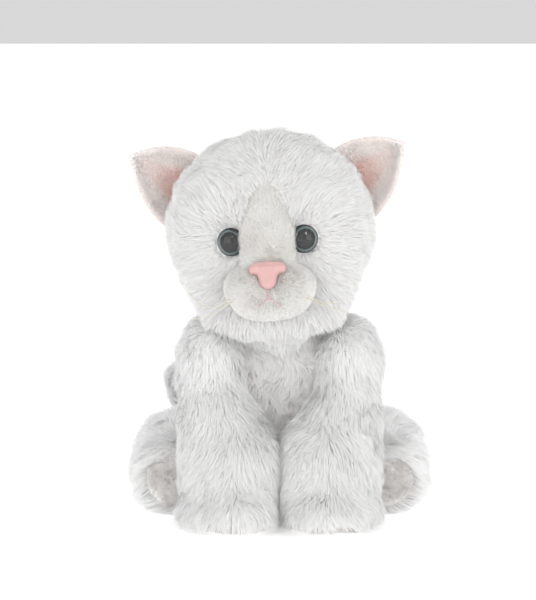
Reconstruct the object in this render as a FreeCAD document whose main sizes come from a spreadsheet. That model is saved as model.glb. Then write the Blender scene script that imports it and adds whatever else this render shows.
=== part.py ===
"""A seated plush cat, 200 mm tall, as the pieces it is sewn and assembled from.

Millimetres. +Z is up, the cat faces -Y and +X is the cat's own left side. The origin is on the flat underside of the
seat, at the surface that the cat sits on and straight below the shoulders' middle. Every cover is the plush fabric
with its pile at the height where the tips of the fur close, so the covers have the real outer size. Head pieces are
laid out from the neck pivot, in the head's frame, which leans and turns a few degrees towards the cat's right.
"""

import FreeCAD
import Part
import Sketcher
import math
import os
import re
from FreeCAD import Placement, Rotation, Vector

SIDES = {"left": 1, "right": -1}

SIZES = {
    # fabrics and fits
    "long_pile": 6,
    "short_pile": 3,
    "seam_gap": 0.15,
    "fill_gap": 0.2,
    "body_gap": 0.7,
    "reach": 160,
    # torso
    "belly_rx": 45,
    "belly_ry": 38,
    "belly_rz": 42,
    "belly_y": 14,
    "belly_z": 29,
    "chest_rx": 33,
    "chest_ry": 29,
    "chest_rz": 33,
    "chest_y": 2,
    "chest_z": 64,
    "chest_front": -17,
    "chest_half": 27.8,
    "flank_front": -11,
    "flank_half": 37.6,
    "seat_thick": 3.5,
    "bib_depth": 10,
    "pouch_rx": 25,
    "pouch_ry": 20,
    "pouch_rz": 10,
    "pouch_z": 21,
    "pouch_skin": 1.2,
    "pellet_radius": 2.1,
    "stitch_radius": 0.4,
    "stitch_length": 5,
    "stitch_pitch": 6,
    "stitch_low": 34,
    "stitch_count": 6,
    "stitch_sunk": 2,
    # neck
    "neck_x": -2,
    "neck_y": 0,
    "neck_z": 100,
    "head_lean": 3,
    "head_turn": 2.5,
    "neck_radius": 13,
    # head
    "head_rx": 51,
    "head_ry": 47,
    "head_rz": 48,
    "head_y": -4,
    "head_z": 47,
    "nape_y": 18,
    "chin_z": 17,
    "muzzle_rx": 21.5,
    "muzzle_ry": 18.5,
    "muzzle_rz": 15.5,
    "muzzle_y": -44,
    "muzzle_z": 21,
    "bridge_rx": 13.5,
    "bridge_ry": 14.5,
    "bridge_rz": 28,
    "bridge_y": -38.5,
    "bridge_z": 49,
    "bridge_tilt": 20,
    "blaze_low": 32,
    # eyes
    "eye_x": 17.4,
    "eye_y": -41.2,
    "eye_z": 45.2,
    "eye_yaw": 24,
    "eye_radius": 7,
    "pupil_radius": 4.8,
    "eye_base": 2,
    "iris_thick": 0.6,
    "lens_rise": 3.8,
    "shank_radius": 2.1,
    "shank_length": 13,
    "washer_radius": 6,
    "washer_thick": 2,
    "washer_depth": 6,
    # nose and mouth
    "nose_half": 9,
    "nose_bar": 5.6,
    "nose_stem": 5.2,
    "nose_drop": 12,
    "nose_thick": 4,
    "nose_edge": 1.2,
    "nose_middle": 5.2,
    "nose_shank_length": 11,
    "nose_y": -56.4,
    "nose_z": 35.8,
    "nose_tilt": 18,
    "thread_radius": 0.5,
    "thread_gap": 0.12,
    # whiskers
    "whisker_radius": 0.2,
    "whisker_x": 17.2,
    "whisker_y": -54,
    "whisker_z": 19.6,
    "whisker_pitch": 2,
    # ears
    "ear_x": 46.7,
    "ear_y": 1,
    "ear_z": 69.2,
    "ear_out": 28,
    "ear_half": 19,
    "ear_height": 27,
    "ear_skew": 3,
    "ear_tip": 5.5,
    "ear_back_thick": 3.2,
    "ear_lining_thick": 2.4,
    "ear_rim": 1.6,
    # front legs
    "shoulder_x": 40,
    "shoulder_y": -17.5,
    "shoulder_z": 84,
    "shoulder_half": 11.4,
    "shoulder_radius": 21.5,
    "leg_inner": 28.5,
    "leg_rear_top": 58,
    "leg_seam_x": 23,
    "paw_x": 21,
    "paw_y": -50,
    "paw_z": 11,
    "paw_rx": 16,
    "paw_ry": 15.5,
    "paw_rz": 13,
    "pad_top": 9,
    "pad_back": -44,
    "pad_outer": 38,
    # hind legs
    "sole_y": -9,
    "haunch_top": 54,
    "hip_x": 38.3,
    # tail
    "tail_radius": 9.2,
    "tail_root_x": -4,
    "tail_root_y": 61.8,
    "tail_root_z": 22,
    "tail_bend_x": -38,
    "tail_bend_y": 74,
    "tail_bend_z": 38,
    "tail_tip_x": -48,
    "tail_tip_y": 46,
    "tail_tip_z": 61,
}

# The front leg's cross-sections from the floor up: middle x, middle y, height, half width, half depth.
LEG_SECTIONS = [
    (26.0, -37.0, 0.0, 22.5, 17.5),
    (26.0, -37.5, 9.0, 25.0, 20.5),
    (26.3, -36.0, 28.0, 25.0, 20.0),
    (27.0, -33.0, 47.0, 24.3, 17.5),
    (33.5, -28.0, 66.0, 17.5, 15.0),
    (39.5, -20.0, 84.0, 10.5, 10.5),
]

# The hind leg's cross-sections from the sole back: middle x, middle z, y, half width, half height.
HIND_SECTIONS = [
    (53.0, 20.0, -9.0, 19.8, 18.8),
    (53.0, 20.7, 0.0, 21.8, 20.7),
    (51.0, 23.5, 12.0, 23.5, 23.3),
    (49.5, 26.5, 24.0, 24.5, 24.3),
    (49.5, 27.5, 35.0, 18.8, 18.5),
    (49.5, 28.0, 43.5, 7.0, 7.0),
]

# The mouth's points on the muzzle's front, as x and z of the head's frame. The last two are on both sides.
MOUTH = {"top": (0, 23.2), "fork": (0, 18.6), "elbow": (3.6, 16.6), "corner": (7.2, 13.6)}

# Each whisker's points outside the muzzle, first on the cat's right and then on its left: x, y ahead of the
# whiskers' own y (back is positive), and z of the head's frame.
WHISKERS = {
    "upper": ([(-38.5, 3, 22), (-33, 1, 17.2), (-27, -1, 15.4)], [(23, -1, 16.4), (34, 3, 13)]),
    "lower": ([(-38.5, 3, 9.2), (-28, -1, 11.4)], [(25, -1, 13.4), (40, 3, 8.2)]),
}

doc = FreeCAD.newDocument("PlushCat")
sheet = doc.addObject("Spreadsheet::Sheet", "Sizes")
nodes = {}
OUT = Vector(0, 0, 1)


def fill_sheet():
    """One row for each driving size: its name beside it, its value under its alias."""
    for row, (alias, value) in enumerate(SIZES.items(), start=1):
        sheet.set(f"A{row}", alias)
        sheet.set(f"B{row}", str(value))
        sheet.setAlias(f"B{row}", alias)
    doc.recompute()


def size(alias):
    return float(sheet.get(alias))


def bound(text):
    """An expression of aliases, such as 'head_rx - long_pile', as the sheet's own cells."""
    return re.sub(r"[a-z_]+", lambda word: ("Sizes." if word[0] in SIZES else "") + word[0], text)


def bind(thing, **expressions):
    for name, text in expressions.items():
        thing.setExpression(name, bound(text))
    return thing


def head_frame():
    """From the head's own frame, with its origin at the neck pivot, to the cat's."""
    lean = Rotation(Vector(0, 1, 0), -size("head_lean"))
    turn = Rotation(Vector(0, 0, 1), -size("head_turn"))
    return Placement(Vector(size("neck_x"), size("neck_y"), size("neck_z")), lean * turn)


def ellipsoid(name, radii, centre, frame=None, turn=None):
    """radii are three expressions, along x, y and z. centre is a point in frame."""
    thing = doc.addObject("Part::Ellipsoid", name)
    bind(thing, Radius1=radii[2], Radius2=radii[0], Radius3=radii[1])
    thing.Placement = (frame or Placement()) * Placement(Vector(*centre), turn or Rotation())
    return thing


def block(name, low, high, frame=None):
    """A box between two corners of frame. None stands for as far as any piece reaches."""
    reach = size("reach")
    low = [-reach if v is None else v for v in low]
    high = [reach if v is None else v for v in high]
    thing = doc.addObject("Part::Box", name)
    thing.Length, thing.Width, thing.Height = (h - b for b, h in zip(low, high))
    thing.Placement = (frame or Placement()) * Placement(Vector(*low), Rotation())
    return thing


def rod(name, radius, start, direction, length, frame=None):
    """A round bar from start along direction. radius is an expression, length a number or an expression."""
    thing = doc.addObject("Part::Cylinder", name)
    bind(thing, Radius=radius)
    if isinstance(length, str):
        bind(thing, Height=length)
    else:
        thing.Height = length
    turn = Rotation(Vector(0, 0, 1), Vector(*direction))
    thing.Placement = (frame or Placement()) * Placement(Vector(*start), turn)
    return thing


def ball(name, radius, centre, frame=None):
    thing = bind(doc.addObject("Part::Sphere", name), Radius=radius)
    thing.Placement = (frame or Placement()) * Placement(Vector(*centre), Rotation())
    return thing


def arc_tube(name, radius, start, middle, end, frame=None):
    """A round tube along the arc through three points."""
    arc = Part.Arc(Vector(*start), Vector(*middle), Vector(*end))
    edge = arc.toShape()
    centre = edge.Curve.Center
    thing = doc.addObject("Part::Torus", name)
    thing.Radius1 = edge.Curve.Radius
    thing.Angle3 = math.degrees(edge.Length / edge.Curve.Radius)
    bind(thing, Radius2=radius)
    across = Vector(*start) - centre
    turn = Rotation(across, Vector(), edge.Curve.Axis, "ZXY")
    thing.Placement = (frame or Placement()) * Placement(centre, turn)
    return thing


def fuse(name, *shapes):
    thing = doc.addObject("Part::MultiFuse", name)
    thing.Shapes = list(shapes)
    return thing


def common(name, *shapes):
    thing = doc.addObject("Part::MultiCommon", name)
    thing.Shapes = list(shapes)
    return thing


def cut(name, base, *tools):
    """Takes the tools away from base, one after the other."""
    for k, tool in enumerate(tools, start=1):
        thing = doc.addObject("Part::Cut", name if k == len(tools) else f"{name}_{k}")
        thing.Base, thing.Tool = base, tool
        base = thing
    return base


def keep(name, thing):
    """Makes thing the sub-part of that name."""
    thing.Label = name
    nodes[name] = thing
    return thing


def inset(alias, by):
    return f"{alias} - {by}" if by else alias


# ---------------------------------------------------------------- sketched pieces


def new_body(name, place):
    body = doc.addObject("PartDesign::Body", name)
    body.Placement = place
    return body


def new_sketch(body, name):
    """A sketch on the body's own XY plane."""
    sketch = body.newObject("Sketcher::SketchObject", name)
    plane = next(f for f in body.Origin.OriginFeatures if f.Role == "XY_Plane")
    sketch.AttachmentSupport = [(plane, "")]
    sketch.MapMode = "FlatFace"
    return sketch


def add_circle(sketch, radius, middle=None):
    """A circle about middle, or pinned to the sketch's origin when that isn't given."""
    circle = sketch.addGeometry(Part.Circle(middle or Vector(), Vector(0, 0, 1), 1))
    if middle is None:
        sketch.addConstraint(Sketcher.Constraint("Coincident", circle, 3, -1, 1))
    row = sketch.addConstraint(Sketcher.Constraint("Radius", circle, 1))
    sketch.setExpression(f"Constraints[{row}]", bound(radius))


def pad(body, name, sketch, length, back=False):
    made = body.newObject("PartDesign::Pad", name)
    made.Profile = sketch
    made.Reversed = back
    bind(made, Length=length)
    return made


def disc(body, name, radius, length, back=False):
    sketch = new_sketch(body, name + "_outline")
    add_circle(sketch, radius)
    return pad(body, name, sketch, length, back)


def drill(body, name, radius, length, back=False):
    """A round pocket from the body's own XY plane, along +Z, or along -Z with back."""
    sketch = new_sketch(body, name + "_outline")
    add_circle(sketch, radius)
    made = body.newObject("PartDesign::Pocket", name)
    made.Profile = sketch
    made.Reversed = not back
    bind(made, Length=length)
    return made


def outline(sketch, pieces):
    """Adds lines and arcs, given as lists of two or three points, as one closed outline."""
    for points in pieces:
        corners = [Vector(x, y, 0) for x, y in points]
        curve = Part.LineSegment(*corners) if len(corners) == 2 else Part.Arc(*corners)
        sketch.addGeometry(curve)


# ---------------------------------------------------------------- torso


def torso_shape(name, by):
    """The torso's outer form, drawn in by the expression by on its curved sides and its front."""
    t = size(by) if by else 0
    floor = size("seat_thick") + size("seam_gap") if by else 0
    neck_x, neck_y, neck_z = (size(f"neck_{axis}") for axis in "xyz")
    neck_room = "neck_radius + body_gap" + (f" + {by}" if by else "")
    belly = ellipsoid(
        name + "_belly",
        [inset("belly_rx", by), inset("belly_ry", by), inset("belly_rz", by)],
        (0, size("belly_y"), size("belly_z")),
    )
    chest = ellipsoid(
        name + "_chest",
        [inset("chest_rx", by), inset("chest_ry", by), inset("chest_rz", by)],
        (0, size("chest_y"), size("chest_z")),
    )
    away = [
        block(name + "_floor", (None, None, None), (None, None, floor)),
        block(name + "_front", (None, None, None), (None, size("chest_front") + t, None)),
        ball(name + "_neck", neck_room, (neck_x, neck_y, neck_z)),
    ]
    shoulder = size("shoulder_radius") + size("body_gap") + t
    for side, sign in SIDES.items():
        half = sign * (size("chest_half") - t)
        flank = sign * (size("flank_half") - t)
        away.append(side_block(f"{name}_{side}_bay", half, size("flank_front") + t, None))
        away.append(side_block(f"{name}_{side}_flank", flank, None, size("haunch_top")))
        bay = doc.addObject("Part::Cylinder", f"{name}_{side}_shoulder")
        bay.Radius, bay.Height = shoulder, size("reach")
        bay.Placement = Placement(
            Vector(half, size("shoulder_y"), size("shoulder_z")), Rotation(Vector(0, 0, 1), Vector(sign, 0, 0))
        )
        away.append(bay)
    return cut(name, fuse(name + "_round", belly, chest), *away)


def side_block(name, x, y_high, z_high):
    """Everything outside x on its own side, in front of y_high and below z_high."""
    low, high = sorted((x, math.copysign(size("reach"), x)))
    return block(name, (low, None, None), (high, y_high, z_high))


def torso():
    outer = torso_shape("torso_outer", "")
    hollow = torso_shape("torso_hollow", "long_pile")
    cover = cut("torso_cover", outer, hollow)
    gap = size("seam_gap") / 2
    seat = size("seat_thick")
    bib = size("chest_front") + size("bib_depth")
    keep("seat_panel", common("seat", outer, block("seat_zone", (None, None, None), (None, None, seat))))
    upper = block("seat_above", (None, None, seat + gap), (None, None, None))
    half = size("chest_half") - size("long_pile")
    front = block("bib_zone", (-half, None, seat + gap), (half, bib, None))
    keep("chest_panel", common("bib", cover, front))
    wide = block("bib_room", (-half - gap, None, None), (half + gap, bib + gap, None))
    holes = stitches("stitch_hole", "stitch_radius + fill_gap", "stitch_length + 2 * fill_gap")
    for side, sign in SIDES.items():
        zone = side_zone(f"torso_{side}_zone", sign, gap)
        panel = common(f"torso_{side}_half", cover, upper, zone)
        keep(f"torso_panel_{side}", cut(f"torso_{side}", panel, wide, *holes))
    pouch()
    fill = torso_shape("torso_fill_form", "long_pile")
    pouch_room = pouch_form("pouch_room", "fill_gap")
    keep("torso_stuffing", cut("torso_fill", fill, pouch_room))
    seam_thread()


def side_zone(name, sign, gap):
    low, high = sorted((sign * gap, sign * size("reach")))
    return block(name, (low, None, None), (high, None, None))


def pouch_form(name, grow, skin=""):
    extra = f" + {grow}" if grow else ""
    less = f" - {skin}" if skin else ""
    radii = [f"pouch_r{axis}{extra}{less}" for axis in "xyz"]
    return ellipsoid(name, radii, (0, size("belly_y"), size("pouch_z")))


def pouch():
    """The fabric pouch in the seat and the plastic pellets that weigh it down."""
    keep("pellet_pouch", cut("pouch", pouch_form("pouch_outer", ""), pouch_form("pouch_inner", "", "pouch_skin")))
    pitch = 2 * size("pellet_radius") + 0.3
    skin = size("pouch_skin") + size("pellet_radius") + 0.2
    room = [size(f"pouch_r{axis}") - skin for axis in "xyz"]
    layer = pitch * math.sqrt(3) / 2
    pellets = []
    for k in range(-1, 2):
        for j in range(-5, 6):
            for i in range(-6, 7):
                x = (i + 0.5 * (j % 2)) * pitch
                y = j * layer
                z = k * pitch * 0.95 - pitch * 0.2
                if sum((v / r) ** 2 for v, r in zip((x, y, z), room)) < 1 and k < 1:
                    place = (x, size("belly_y") + y, size("pouch_z") + z)
                    pellets.append(ball(f"pellet_{len(pellets)}", "pellet_radius", place))
    group = doc.addObject("Part::Compound", "pellet_group")
    group.Links = pellets
    keep("pellets", group)


def stitches(name, radius, length):
    """A row of short bars up the back seam, sunk into the pile and centred on the seam."""
    sunk = size("stitch_sunk")
    bars = []
    for k in range(int(size("stitch_count"))):
        z = size("stitch_low") + k * size("stitch_pitch")
        rise = (z - size("belly_z")) / (size("belly_rz") - sunk)
        y = size("belly_y") + (size("belly_ry") - sunk) * math.sqrt(1 - rise * rise)
        bar = rod(f"{name}_{k}", radius, (0, y, z), (1, 0, 0), length)
        bar.setExpression("Placement.Base.x", bound(f"-({length}) / 2"))
        bars.append(bar)
    return bars


def seam_thread():
    """The hand-sewn stitches that close the back seam after stuffing."""
    group = doc.addObject("Part::Compound", "stitch_group")
    group.Links = stitches("stitch", "stitch_radius", "stitch_length")
    keep("back_seam_thread", group)


def neck():
    centre = (size("neck_x"), size("neck_y"), size("neck_z"))
    keep("neck_stuffing", ball("neck_plug", "neck_radius", centre))


# ---------------------------------------------------------------- head


def round_head(name, frame, by="", grow=""):
    less = (f" - {by}" if by else "") + (f" + {grow}" if grow else "")
    radii = [f"head_r{axis}{less}" for axis in "xyz"]
    return ellipsoid(name, radii, (0, size("head_y"), size("head_z")), frame)


def face_form(name, frame, by="", grow=""):
    """The muzzle with the bridge that runs up from it between the eyes."""
    less = (f" - {by}" if by else "") + (f" + {grow}" if grow else "")
    muzzle = ellipsoid(
        name + "_muzzle",
        [f"muzzle_r{axis}{less}" for axis in "xyz"],
        (0, size("muzzle_y"), size("muzzle_z")),
        frame,
    )
    bridge = ellipsoid(
        name + "_bridge",
        [f"bridge_r{axis}{less}" for axis in "xyz"],
        (0, size("bridge_y"), size("bridge_z")),
        frame,
        Rotation(Vector(1, 0, 0), -size("bridge_tilt")),
    )
    return fuse(name, muzzle, bridge)


def eye_frame(sign, frame):
    """The eye's own frame: origin at the back of its button, +Z out of the face."""
    yaw = math.radians(size("eye_yaw"))
    outward = Vector(sign * math.sin(yaw), -math.cos(yaw), 0)
    turn = Rotation(Vector(0, 0, 1), outward)
    return frame * Placement(Vector(sign * size("eye_x"), size("eye_y"), size("eye_z")), turn)


def nose_frame(frame):
    """The nose's own frame: x across the face, y down it, +Z out of it, origin at the top edge's back."""
    tilt = Rotation(Vector(1, 0, 0), -size("nose_tilt"))
    facing = Rotation(Vector(-1, 0, 0), Vector(0, 0, -1), Vector(0, -1, 0), "ZXY")
    return frame * Placement(Vector(0, size("nose_y"), size("nose_z")), tilt * facing)


def hardware_room(frame):
    """The space that the eyes' and the nose's buttons, shanks and washers take up in the head."""
    gap = size("seam_gap")
    shank, disc_radius = "shank_radius + seam_gap", "washer_radius + seam_gap"
    thick = "washer_thick + 2 * seam_gap"
    low = -size("washer_depth") - size("washer_thick") - gap
    room = []
    for side, sign in SIDES.items():
        at = eye_frame(sign, frame)
        room.append(rod(f"eye_{side}_room", "eye_radius + seam_gap", (0, 0, -gap), OUT, "shank_length + 7", at))
        room.append(rod(f"shank_{side}_room", shank, (0, 0, 0), -OUT, "shank_length + 1", at))
        room.append(rod(f"washer_{side}_room", disc_radius, (0, 0, low), OUT, thick, at))
    at = nose_frame(frame)
    middle = size("nose_middle")
    room.append(rod("nose_shank_room", shank, (0, middle, 0), -OUT, "nose_shank_length + 1", at))
    room.append(rod("nose_washer_room", disc_radius, (0, middle, low), OUT, thick, at))
    return room


def head():
    frame = head_frame()
    gap = size("seam_gap") / 2
    neck_room = ball("head_neck_room", "neck_radius + body_gap", (0, 0, 0), frame)
    hardware = hardware_room(frame)
    channels = whisker_channels(frame)
    nose_room = nose_shape("nose_room", frame, "seam_gap")
    outer = round_head("head_outer", frame)
    filling = fuse(
        "head_fill_form",
        round_head("head_fill_round", frame, "long_pile"),
        face_form("face_fill", frame, "short_pile"),
    )
    hollow = fuse(
        "head_hollow",
        round_head("head_hollow_round", frame, "long_pile", "fill_gap"),
        face_form("face_hollow", frame, "short_pile", "fill_gap"),
    )
    fur = cut("head_fur", outer, hollow, face_form("face_room", frame, "", "seam_gap"), *hardware, neck_room)
    nape, chin = size("nape_y"), size("chin_z")
    nape_zone = block("nape_zone", (None, nape + gap, None), (None, None, None), frame)
    keep("head_back_panel", common("nape", fur, nape_zone))
    chin_zone = block("chin_zone", (None, None, None), (None, nape - gap, chin - gap), frame)
    keep("chin_panel", common("chin", fur, chin_zone))
    for side, sign in SIDES.items():
        low, high = sorted((sign * gap, sign * size("reach")))
        zone = block(f"cheek_{side}_zone", (low, None, chin + gap), (high, nape - gap, None), frame)
        keep(f"head_panel_{side}", common(f"cheek_{side}", fur, zone))
    furrows = mouth_lines("mouth_furrow", "thread_radius + thread_gap", frame)
    velour = cut("face_velour", face_form("face_outer", frame), hollow, *hardware, nose_room, *channels, *furrows)
    blaze = size("blaze_low")
    upper = block("blaze_zone", (None, None, blaze + gap), (None, None, None), frame)
    keep("blaze_panel", common("blaze", velour, upper))
    for side, sign in SIDES.items():
        low, high = sorted((sign * gap, sign * size("reach")))
        zone = block(f"muzzle_{side}_zone", (low, None, None), (high, None, blaze - gap), frame)
        keep(f"muzzle_panel_{side}", common(f"muzzle_{side}", velour, zone))
    keep("head_stuffing", cut("head_fill", filling, *hardware, neck_room, nose_room, *channels))
    for side, sign in SIDES.items():
        eye(side, eye_frame(sign, frame))
    nose(frame)
    mouth(frame)
    whiskers(frame)
    for side, sign in SIDES.items():
        ear(side, sign, frame)


def eye(side, at):
    """A moulded safety eye: black button and shank, painted iris ring, clear lens, and the washer that locks it."""
    base, iris = size("eye_base"), size("iris_thick")
    body = new_body(f"eye_{side}", at)
    disc(body, f"eye_{side}_disc", "eye_radius", "eye_base")
    disc(body, f"eye_{side}_pupil", "pupil_radius", "eye_base + iris_thick")
    disc(body, f"eye_{side}_shank", "shank_radius", "shank_length", back=True)
    keep(f"eye_button_{side}", body)
    ring = new_body(f"iris_{side}", at * Placement(Vector(0, 0, base), Rotation()))
    disc(ring, f"iris_{side}_disc", "eye_radius", "iris_thick")
    drill(ring, f"iris_{side}_hole", "pupil_radius", "iris_thick")
    keep(f"eye_iris_{side}", ring)
    rise = size("lens_rise")
    radius = size("eye_radius")
    bow = (radius * radius + rise * rise) / (2 * rise)
    centre = (0, 0, base + iris + rise - bow)
    dome = ball(f"lens_{side}_ball", "(eye_radius ^ 2 + lens_rise ^ 2) / (2 * lens_rise)", centre, at)
    above = block(f"lens_{side}_zone", (None, None, base + iris), (None, None, None), at)
    keep(f"eye_lens_{side}", common(f"lens_{side}", dome, above))
    washer(f"eye_washer_{side}", at, 0)


def washer(name, at, y):
    low = -size("washer_depth") - size("washer_thick")
    body = new_body(name + "_body", at * Placement(Vector(0, y, low), Rotation()))
    disc(body, name + "_disc", "washer_radius", "washer_thick")
    drill(body, name + "_hole", "shank_radius", "washer_thick")
    keep(name, body)


def nose_outline(grow):
    """The T of a cat's nose: a bar with rounded ends over a stem that narrows to a round tip. x across, y down."""
    half, bar = size("nose_half") + grow, size("nose_bar") + grow
    stem, drop = size("nose_stem") + grow, size("nose_drop") + grow
    top, end = -grow, (bar - grow) / 2
    tip = 0.72 * drop
    return [
        [(-half + 2, top), (half - 2, top)],
        [(half - 2, top), (half, end), (half - 2.4, bar)],
        [(half - 2.4, bar), (stem + 0.5, bar + 0.7), (stem, bar + 2.2)],
        [(stem, bar + 2.2), (stem * 0.72, tip + 0.7), (0, drop)],
        [(0, drop), (-stem * 0.72, tip + 0.7), (-stem, bar + 2.2)],
        [(-stem, bar + 2.2), (-stem - 0.5, bar + 0.7), (-half + 2.4, bar)],
        [(-half + 2.4, bar), (-half, end), (-half + 2, top)],
    ]


def nose_shape(name, frame, grow):
    """A plain block of the nose's outline, grown all round, that clears its seat in the muzzle."""
    body = new_body(name, nose_frame(frame))
    sketch = new_sketch(body, name + "_outline")
    outline(sketch, nose_outline(size(grow)))
    pad(body, name + "_block", sketch, "nose_thick * 3").Midplane = True
    return body


def nose(frame):
    """A moulded plastic nose button with its shank, and the washer that locks it."""
    at = nose_frame(frame)
    middle = size("nose_middle")
    body = new_body("nose", at)
    sketch = new_sketch(body, "nose_face")
    outline(sketch, nose_outline(0))
    pad(body, "nose_block", sketch, "nose_thick - nose_edge")
    sketch = new_sketch(body, "nose_front_outline")
    outline(sketch, nose_outline(-size("nose_edge") / 2))
    pad(body, "nose_front", sketch, "nose_thick")
    shank = new_sketch(body, "nose_shank_outline")
    add_circle(shank, "shank_radius", Vector(0, middle, 0))
    pad(body, "nose_shank", shank, "nose_shank_length", back=True)
    keep("nose_button", body)
    washer("nose_washer", at, middle)


def on_muzzle(x, z):
    """The muzzle's surface in front, at x and z of the head's frame."""
    u = x / size("muzzle_rx")
    w = (z - size("muzzle_z")) / size("muzzle_rz")
    return (x, size("muzzle_y") - size("muzzle_ry") * math.sqrt(1 - u * u - w * w), z)


def mouth_lines(name, radius, frame):
    """An upside-down Y on the muzzle: one bar down from the nose, then two to each side, a little apart."""
    top, fork = on_muzzle(*MOUTH["top"]), on_muzzle(*MOUTH["fork"])
    lines = [(top, fork)]
    for sign in SIDES.values():
        elbow, corner = (on_muzzle(sign * x, z) for x, z in (MOUTH["elbow"], MOUTH["corner"]))
        lines += [(fork, elbow), (elbow, corner)]
    apart = size("thread_radius")
    bars = []
    for k, (start, end) in enumerate(lines):
        along = Vector(*end) - Vector(*start)
        unit = along / along.Length
        inner = Vector(*start) + unit * apart
        bars.append(rod(f"{name}_{k}", radius, inner, unit, along.Length - 2 * apart, frame))
    return bars


def mouth(frame):
    """The mouth's satin stitches, half sunk into the muzzle's pile."""
    group = doc.addObject("Part::Compound", "mouth_group")
    group.Links = mouth_lines("mouth", "thread_radius", frame)
    keep("mouth_stitches", group)


def filament(name, radius, points, frame):
    """A round thread along the smooth curve through points of frame."""
    curve = Part.BSplineCurve()
    curve.interpolate([frame.multVec(Vector(*p)) for p in points])
    spine = doc.addObject("Part::Feature", name + "_path")
    spine.Shape = curve.toShape()
    ring = bind(doc.addObject("Part::Circle", name + "_ring"), Radius=radius)
    start = curve.tangent(curve.FirstParameter)[0]
    ring.Placement = Placement(curve.value(curve.FirstParameter), Rotation(Vector(0, 0, 1), start))
    thread = doc.addObject("Part::Sweep", name)
    thread.Sections = [ring]
    thread.Spine = (spine, ["Edge1"])
    thread.Solid = True
    thread.Frenet = False
    return thread


def whiskers(frame):
    """Two nylon filaments threaded through the muzzle from side to side, each bowed outside it."""
    x, y, z = size("whisker_x"), size("whisker_y"), size("whisker_z")
    for name, (right, left) in WHISKERS.items():
        level = z if name == "upper" else z - size("whisker_pitch")
        inside = [(x * k / 3, y, level) for k in (-3, -2, -1, 0, 1, 2, 3)]
        outside = [[(px, y + ahead, pz) for px, ahead, pz in side] for side in (right, left)]
        path = outside[0] + inside + outside[1]
        keep(f"whisker_{name}", filament(f"whisker_{name}_thread", "whisker_radius", path, frame))


def whisker_channels(frame):
    """The channels that the whiskers run through, in the muzzle's cover and the stuffing behind it."""
    x, y, z = size("whisker_x"), size("whisker_y"), size("whisker_z")
    levels = {"upper": z, "lower": z - size("whisker_pitch")}
    start = (-1.5 * x, y)
    return [
        rod(f"channel_{name}", "whisker_radius + 2 * seam_gap", (*start, level), (1, 0, 0), "3 * whisker_x", frame)
        for name, level in levels.items()
    ]


def ear_outline(shrink):
    """A triangle with bowed sides and a round tip. Its base is along x, and its tip is along +y and leans to +x."""
    half = size("ear_half") - shrink
    tip_r = size("ear_tip") - shrink
    lean = size("ear_skew")
    rise = size("ear_height") - size("ear_tip")
    upper = (lean + tip_r * 0.94, rise + tip_r * 0.34)
    lower = (lean - tip_r * 0.80, rise + tip_r * 0.60)
    return [
        [(-half, 0), (half, 0)],
        [(half, 0), (half * 0.80, rise * 0.55), upper],
        [upper, (lean + tip_r * 0.2, rise + tip_r * 0.98), lower],
        [lower, (-half * 0.62, rise * 0.62), (-half, 0)],
    ]


def ear_frame(sign, frame):
    """The ear's own frame: x up along its base, y out to its tip, +Z out of its front."""
    out = math.radians(size("ear_out"))
    outward = Vector(sign * math.cos(out), 0, math.sin(out))
    up = Vector(-sign * math.sin(out), 0, math.cos(out))
    turn = Rotation(up, outward, up.cross(outward), "XYZ")
    return frame * Placement(Vector(sign * size("ear_x"), size("ear_y"), size("ear_z")), turn)


def ear(side, sign, frame):
    """Two layers sewn round their rim: white plush behind, short pink pile in front."""
    at = ear_frame(sign, frame)
    forward = at.Rotation.multVec(Vector(0, 0, 1)).y < 0
    gap = Vector(0, 0, size("seam_gap") * (1 if forward else -1))
    back = new_body(f"ear_{side}_plush", at)
    sketch = new_sketch(back, f"ear_{side}_back_outline")
    outline(sketch, ear_outline(0))
    pad(back, f"ear_{side}_back", sketch, "ear_back_thick", back=forward)
    keep(f"ear_back_{side}", back)
    front = new_body(f"ear_{side}_pile", at * Placement(gap, Rotation()))
    sketch = new_sketch(front, f"ear_{side}_lining_outline")
    outline(sketch, ear_outline(size("ear_rim")))
    pad(front, f"ear_{side}_lining", sketch, "ear_lining_thick", back=not forward)
    keep(f"ear_lining_{side}", front)


# ---------------------------------------------------------------- legs and tail


def loft(name, sections, by, upright=False):
    """A solid through elliptical rings, drawn in by by. The rings lie flat, or stand across y with upright."""
    rings = []
    for k, (x, across, along, wide, deep) in enumerate(sections):
        ring = doc.addObject("Part::Ellipse", f"{name}_ring_{k}")
        ring.MajorRadius, ring.MinorRadius = wide - by, deep - by
        place = Vector(x, along, across) if upright else Vector(x, across, along)
        ring.Placement = Placement(place, Rotation(Vector(1, 0, 0), 90 if upright else 0))
        rings.append(ring)
    thing = doc.addObject("Part::Loft", name)
    thing.Sections = rings
    thing.Solid = True
    return thing


def leg_form(name, by=""):
    """A front leg: a shoulder that is round about its hinge, a column that widens downwards, and a paw."""
    t = size(by) if by else 0
    column = loft(name + "_column", LEG_SECTIONS, t)
    shoulder = ellipsoid(
        name + "_shoulder",
        [inset("shoulder_half", by), inset("shoulder_radius", by), inset("shoulder_radius", by)],
        (size("shoulder_x"), size("shoulder_y"), size("shoulder_z")),
    )
    paw = ellipsoid(
        name + "_paw",
        [inset("paw_rx", by), inset("paw_ry", by), inset("paw_rz", by)],
        (size("paw_x"), size("paw_y"), size("paw_z")),
    )
    inner = block(name + "_inner_room", (None, size("shoulder_y") - t, None), (size("leg_inner") + t, None, None))
    floor = block(name + "_floor", (None, None, None), (None, None, t / 2))
    rear_y = size("flank_front") - size("body_gap") - t
    rear = block(name + "_rear_room", (None, rear_y, None), (None, None, size("leg_rear_top")))
    return cut(name, fuse(name + "_round", column, shoulder, paw), inner, floor, rear)


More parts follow.
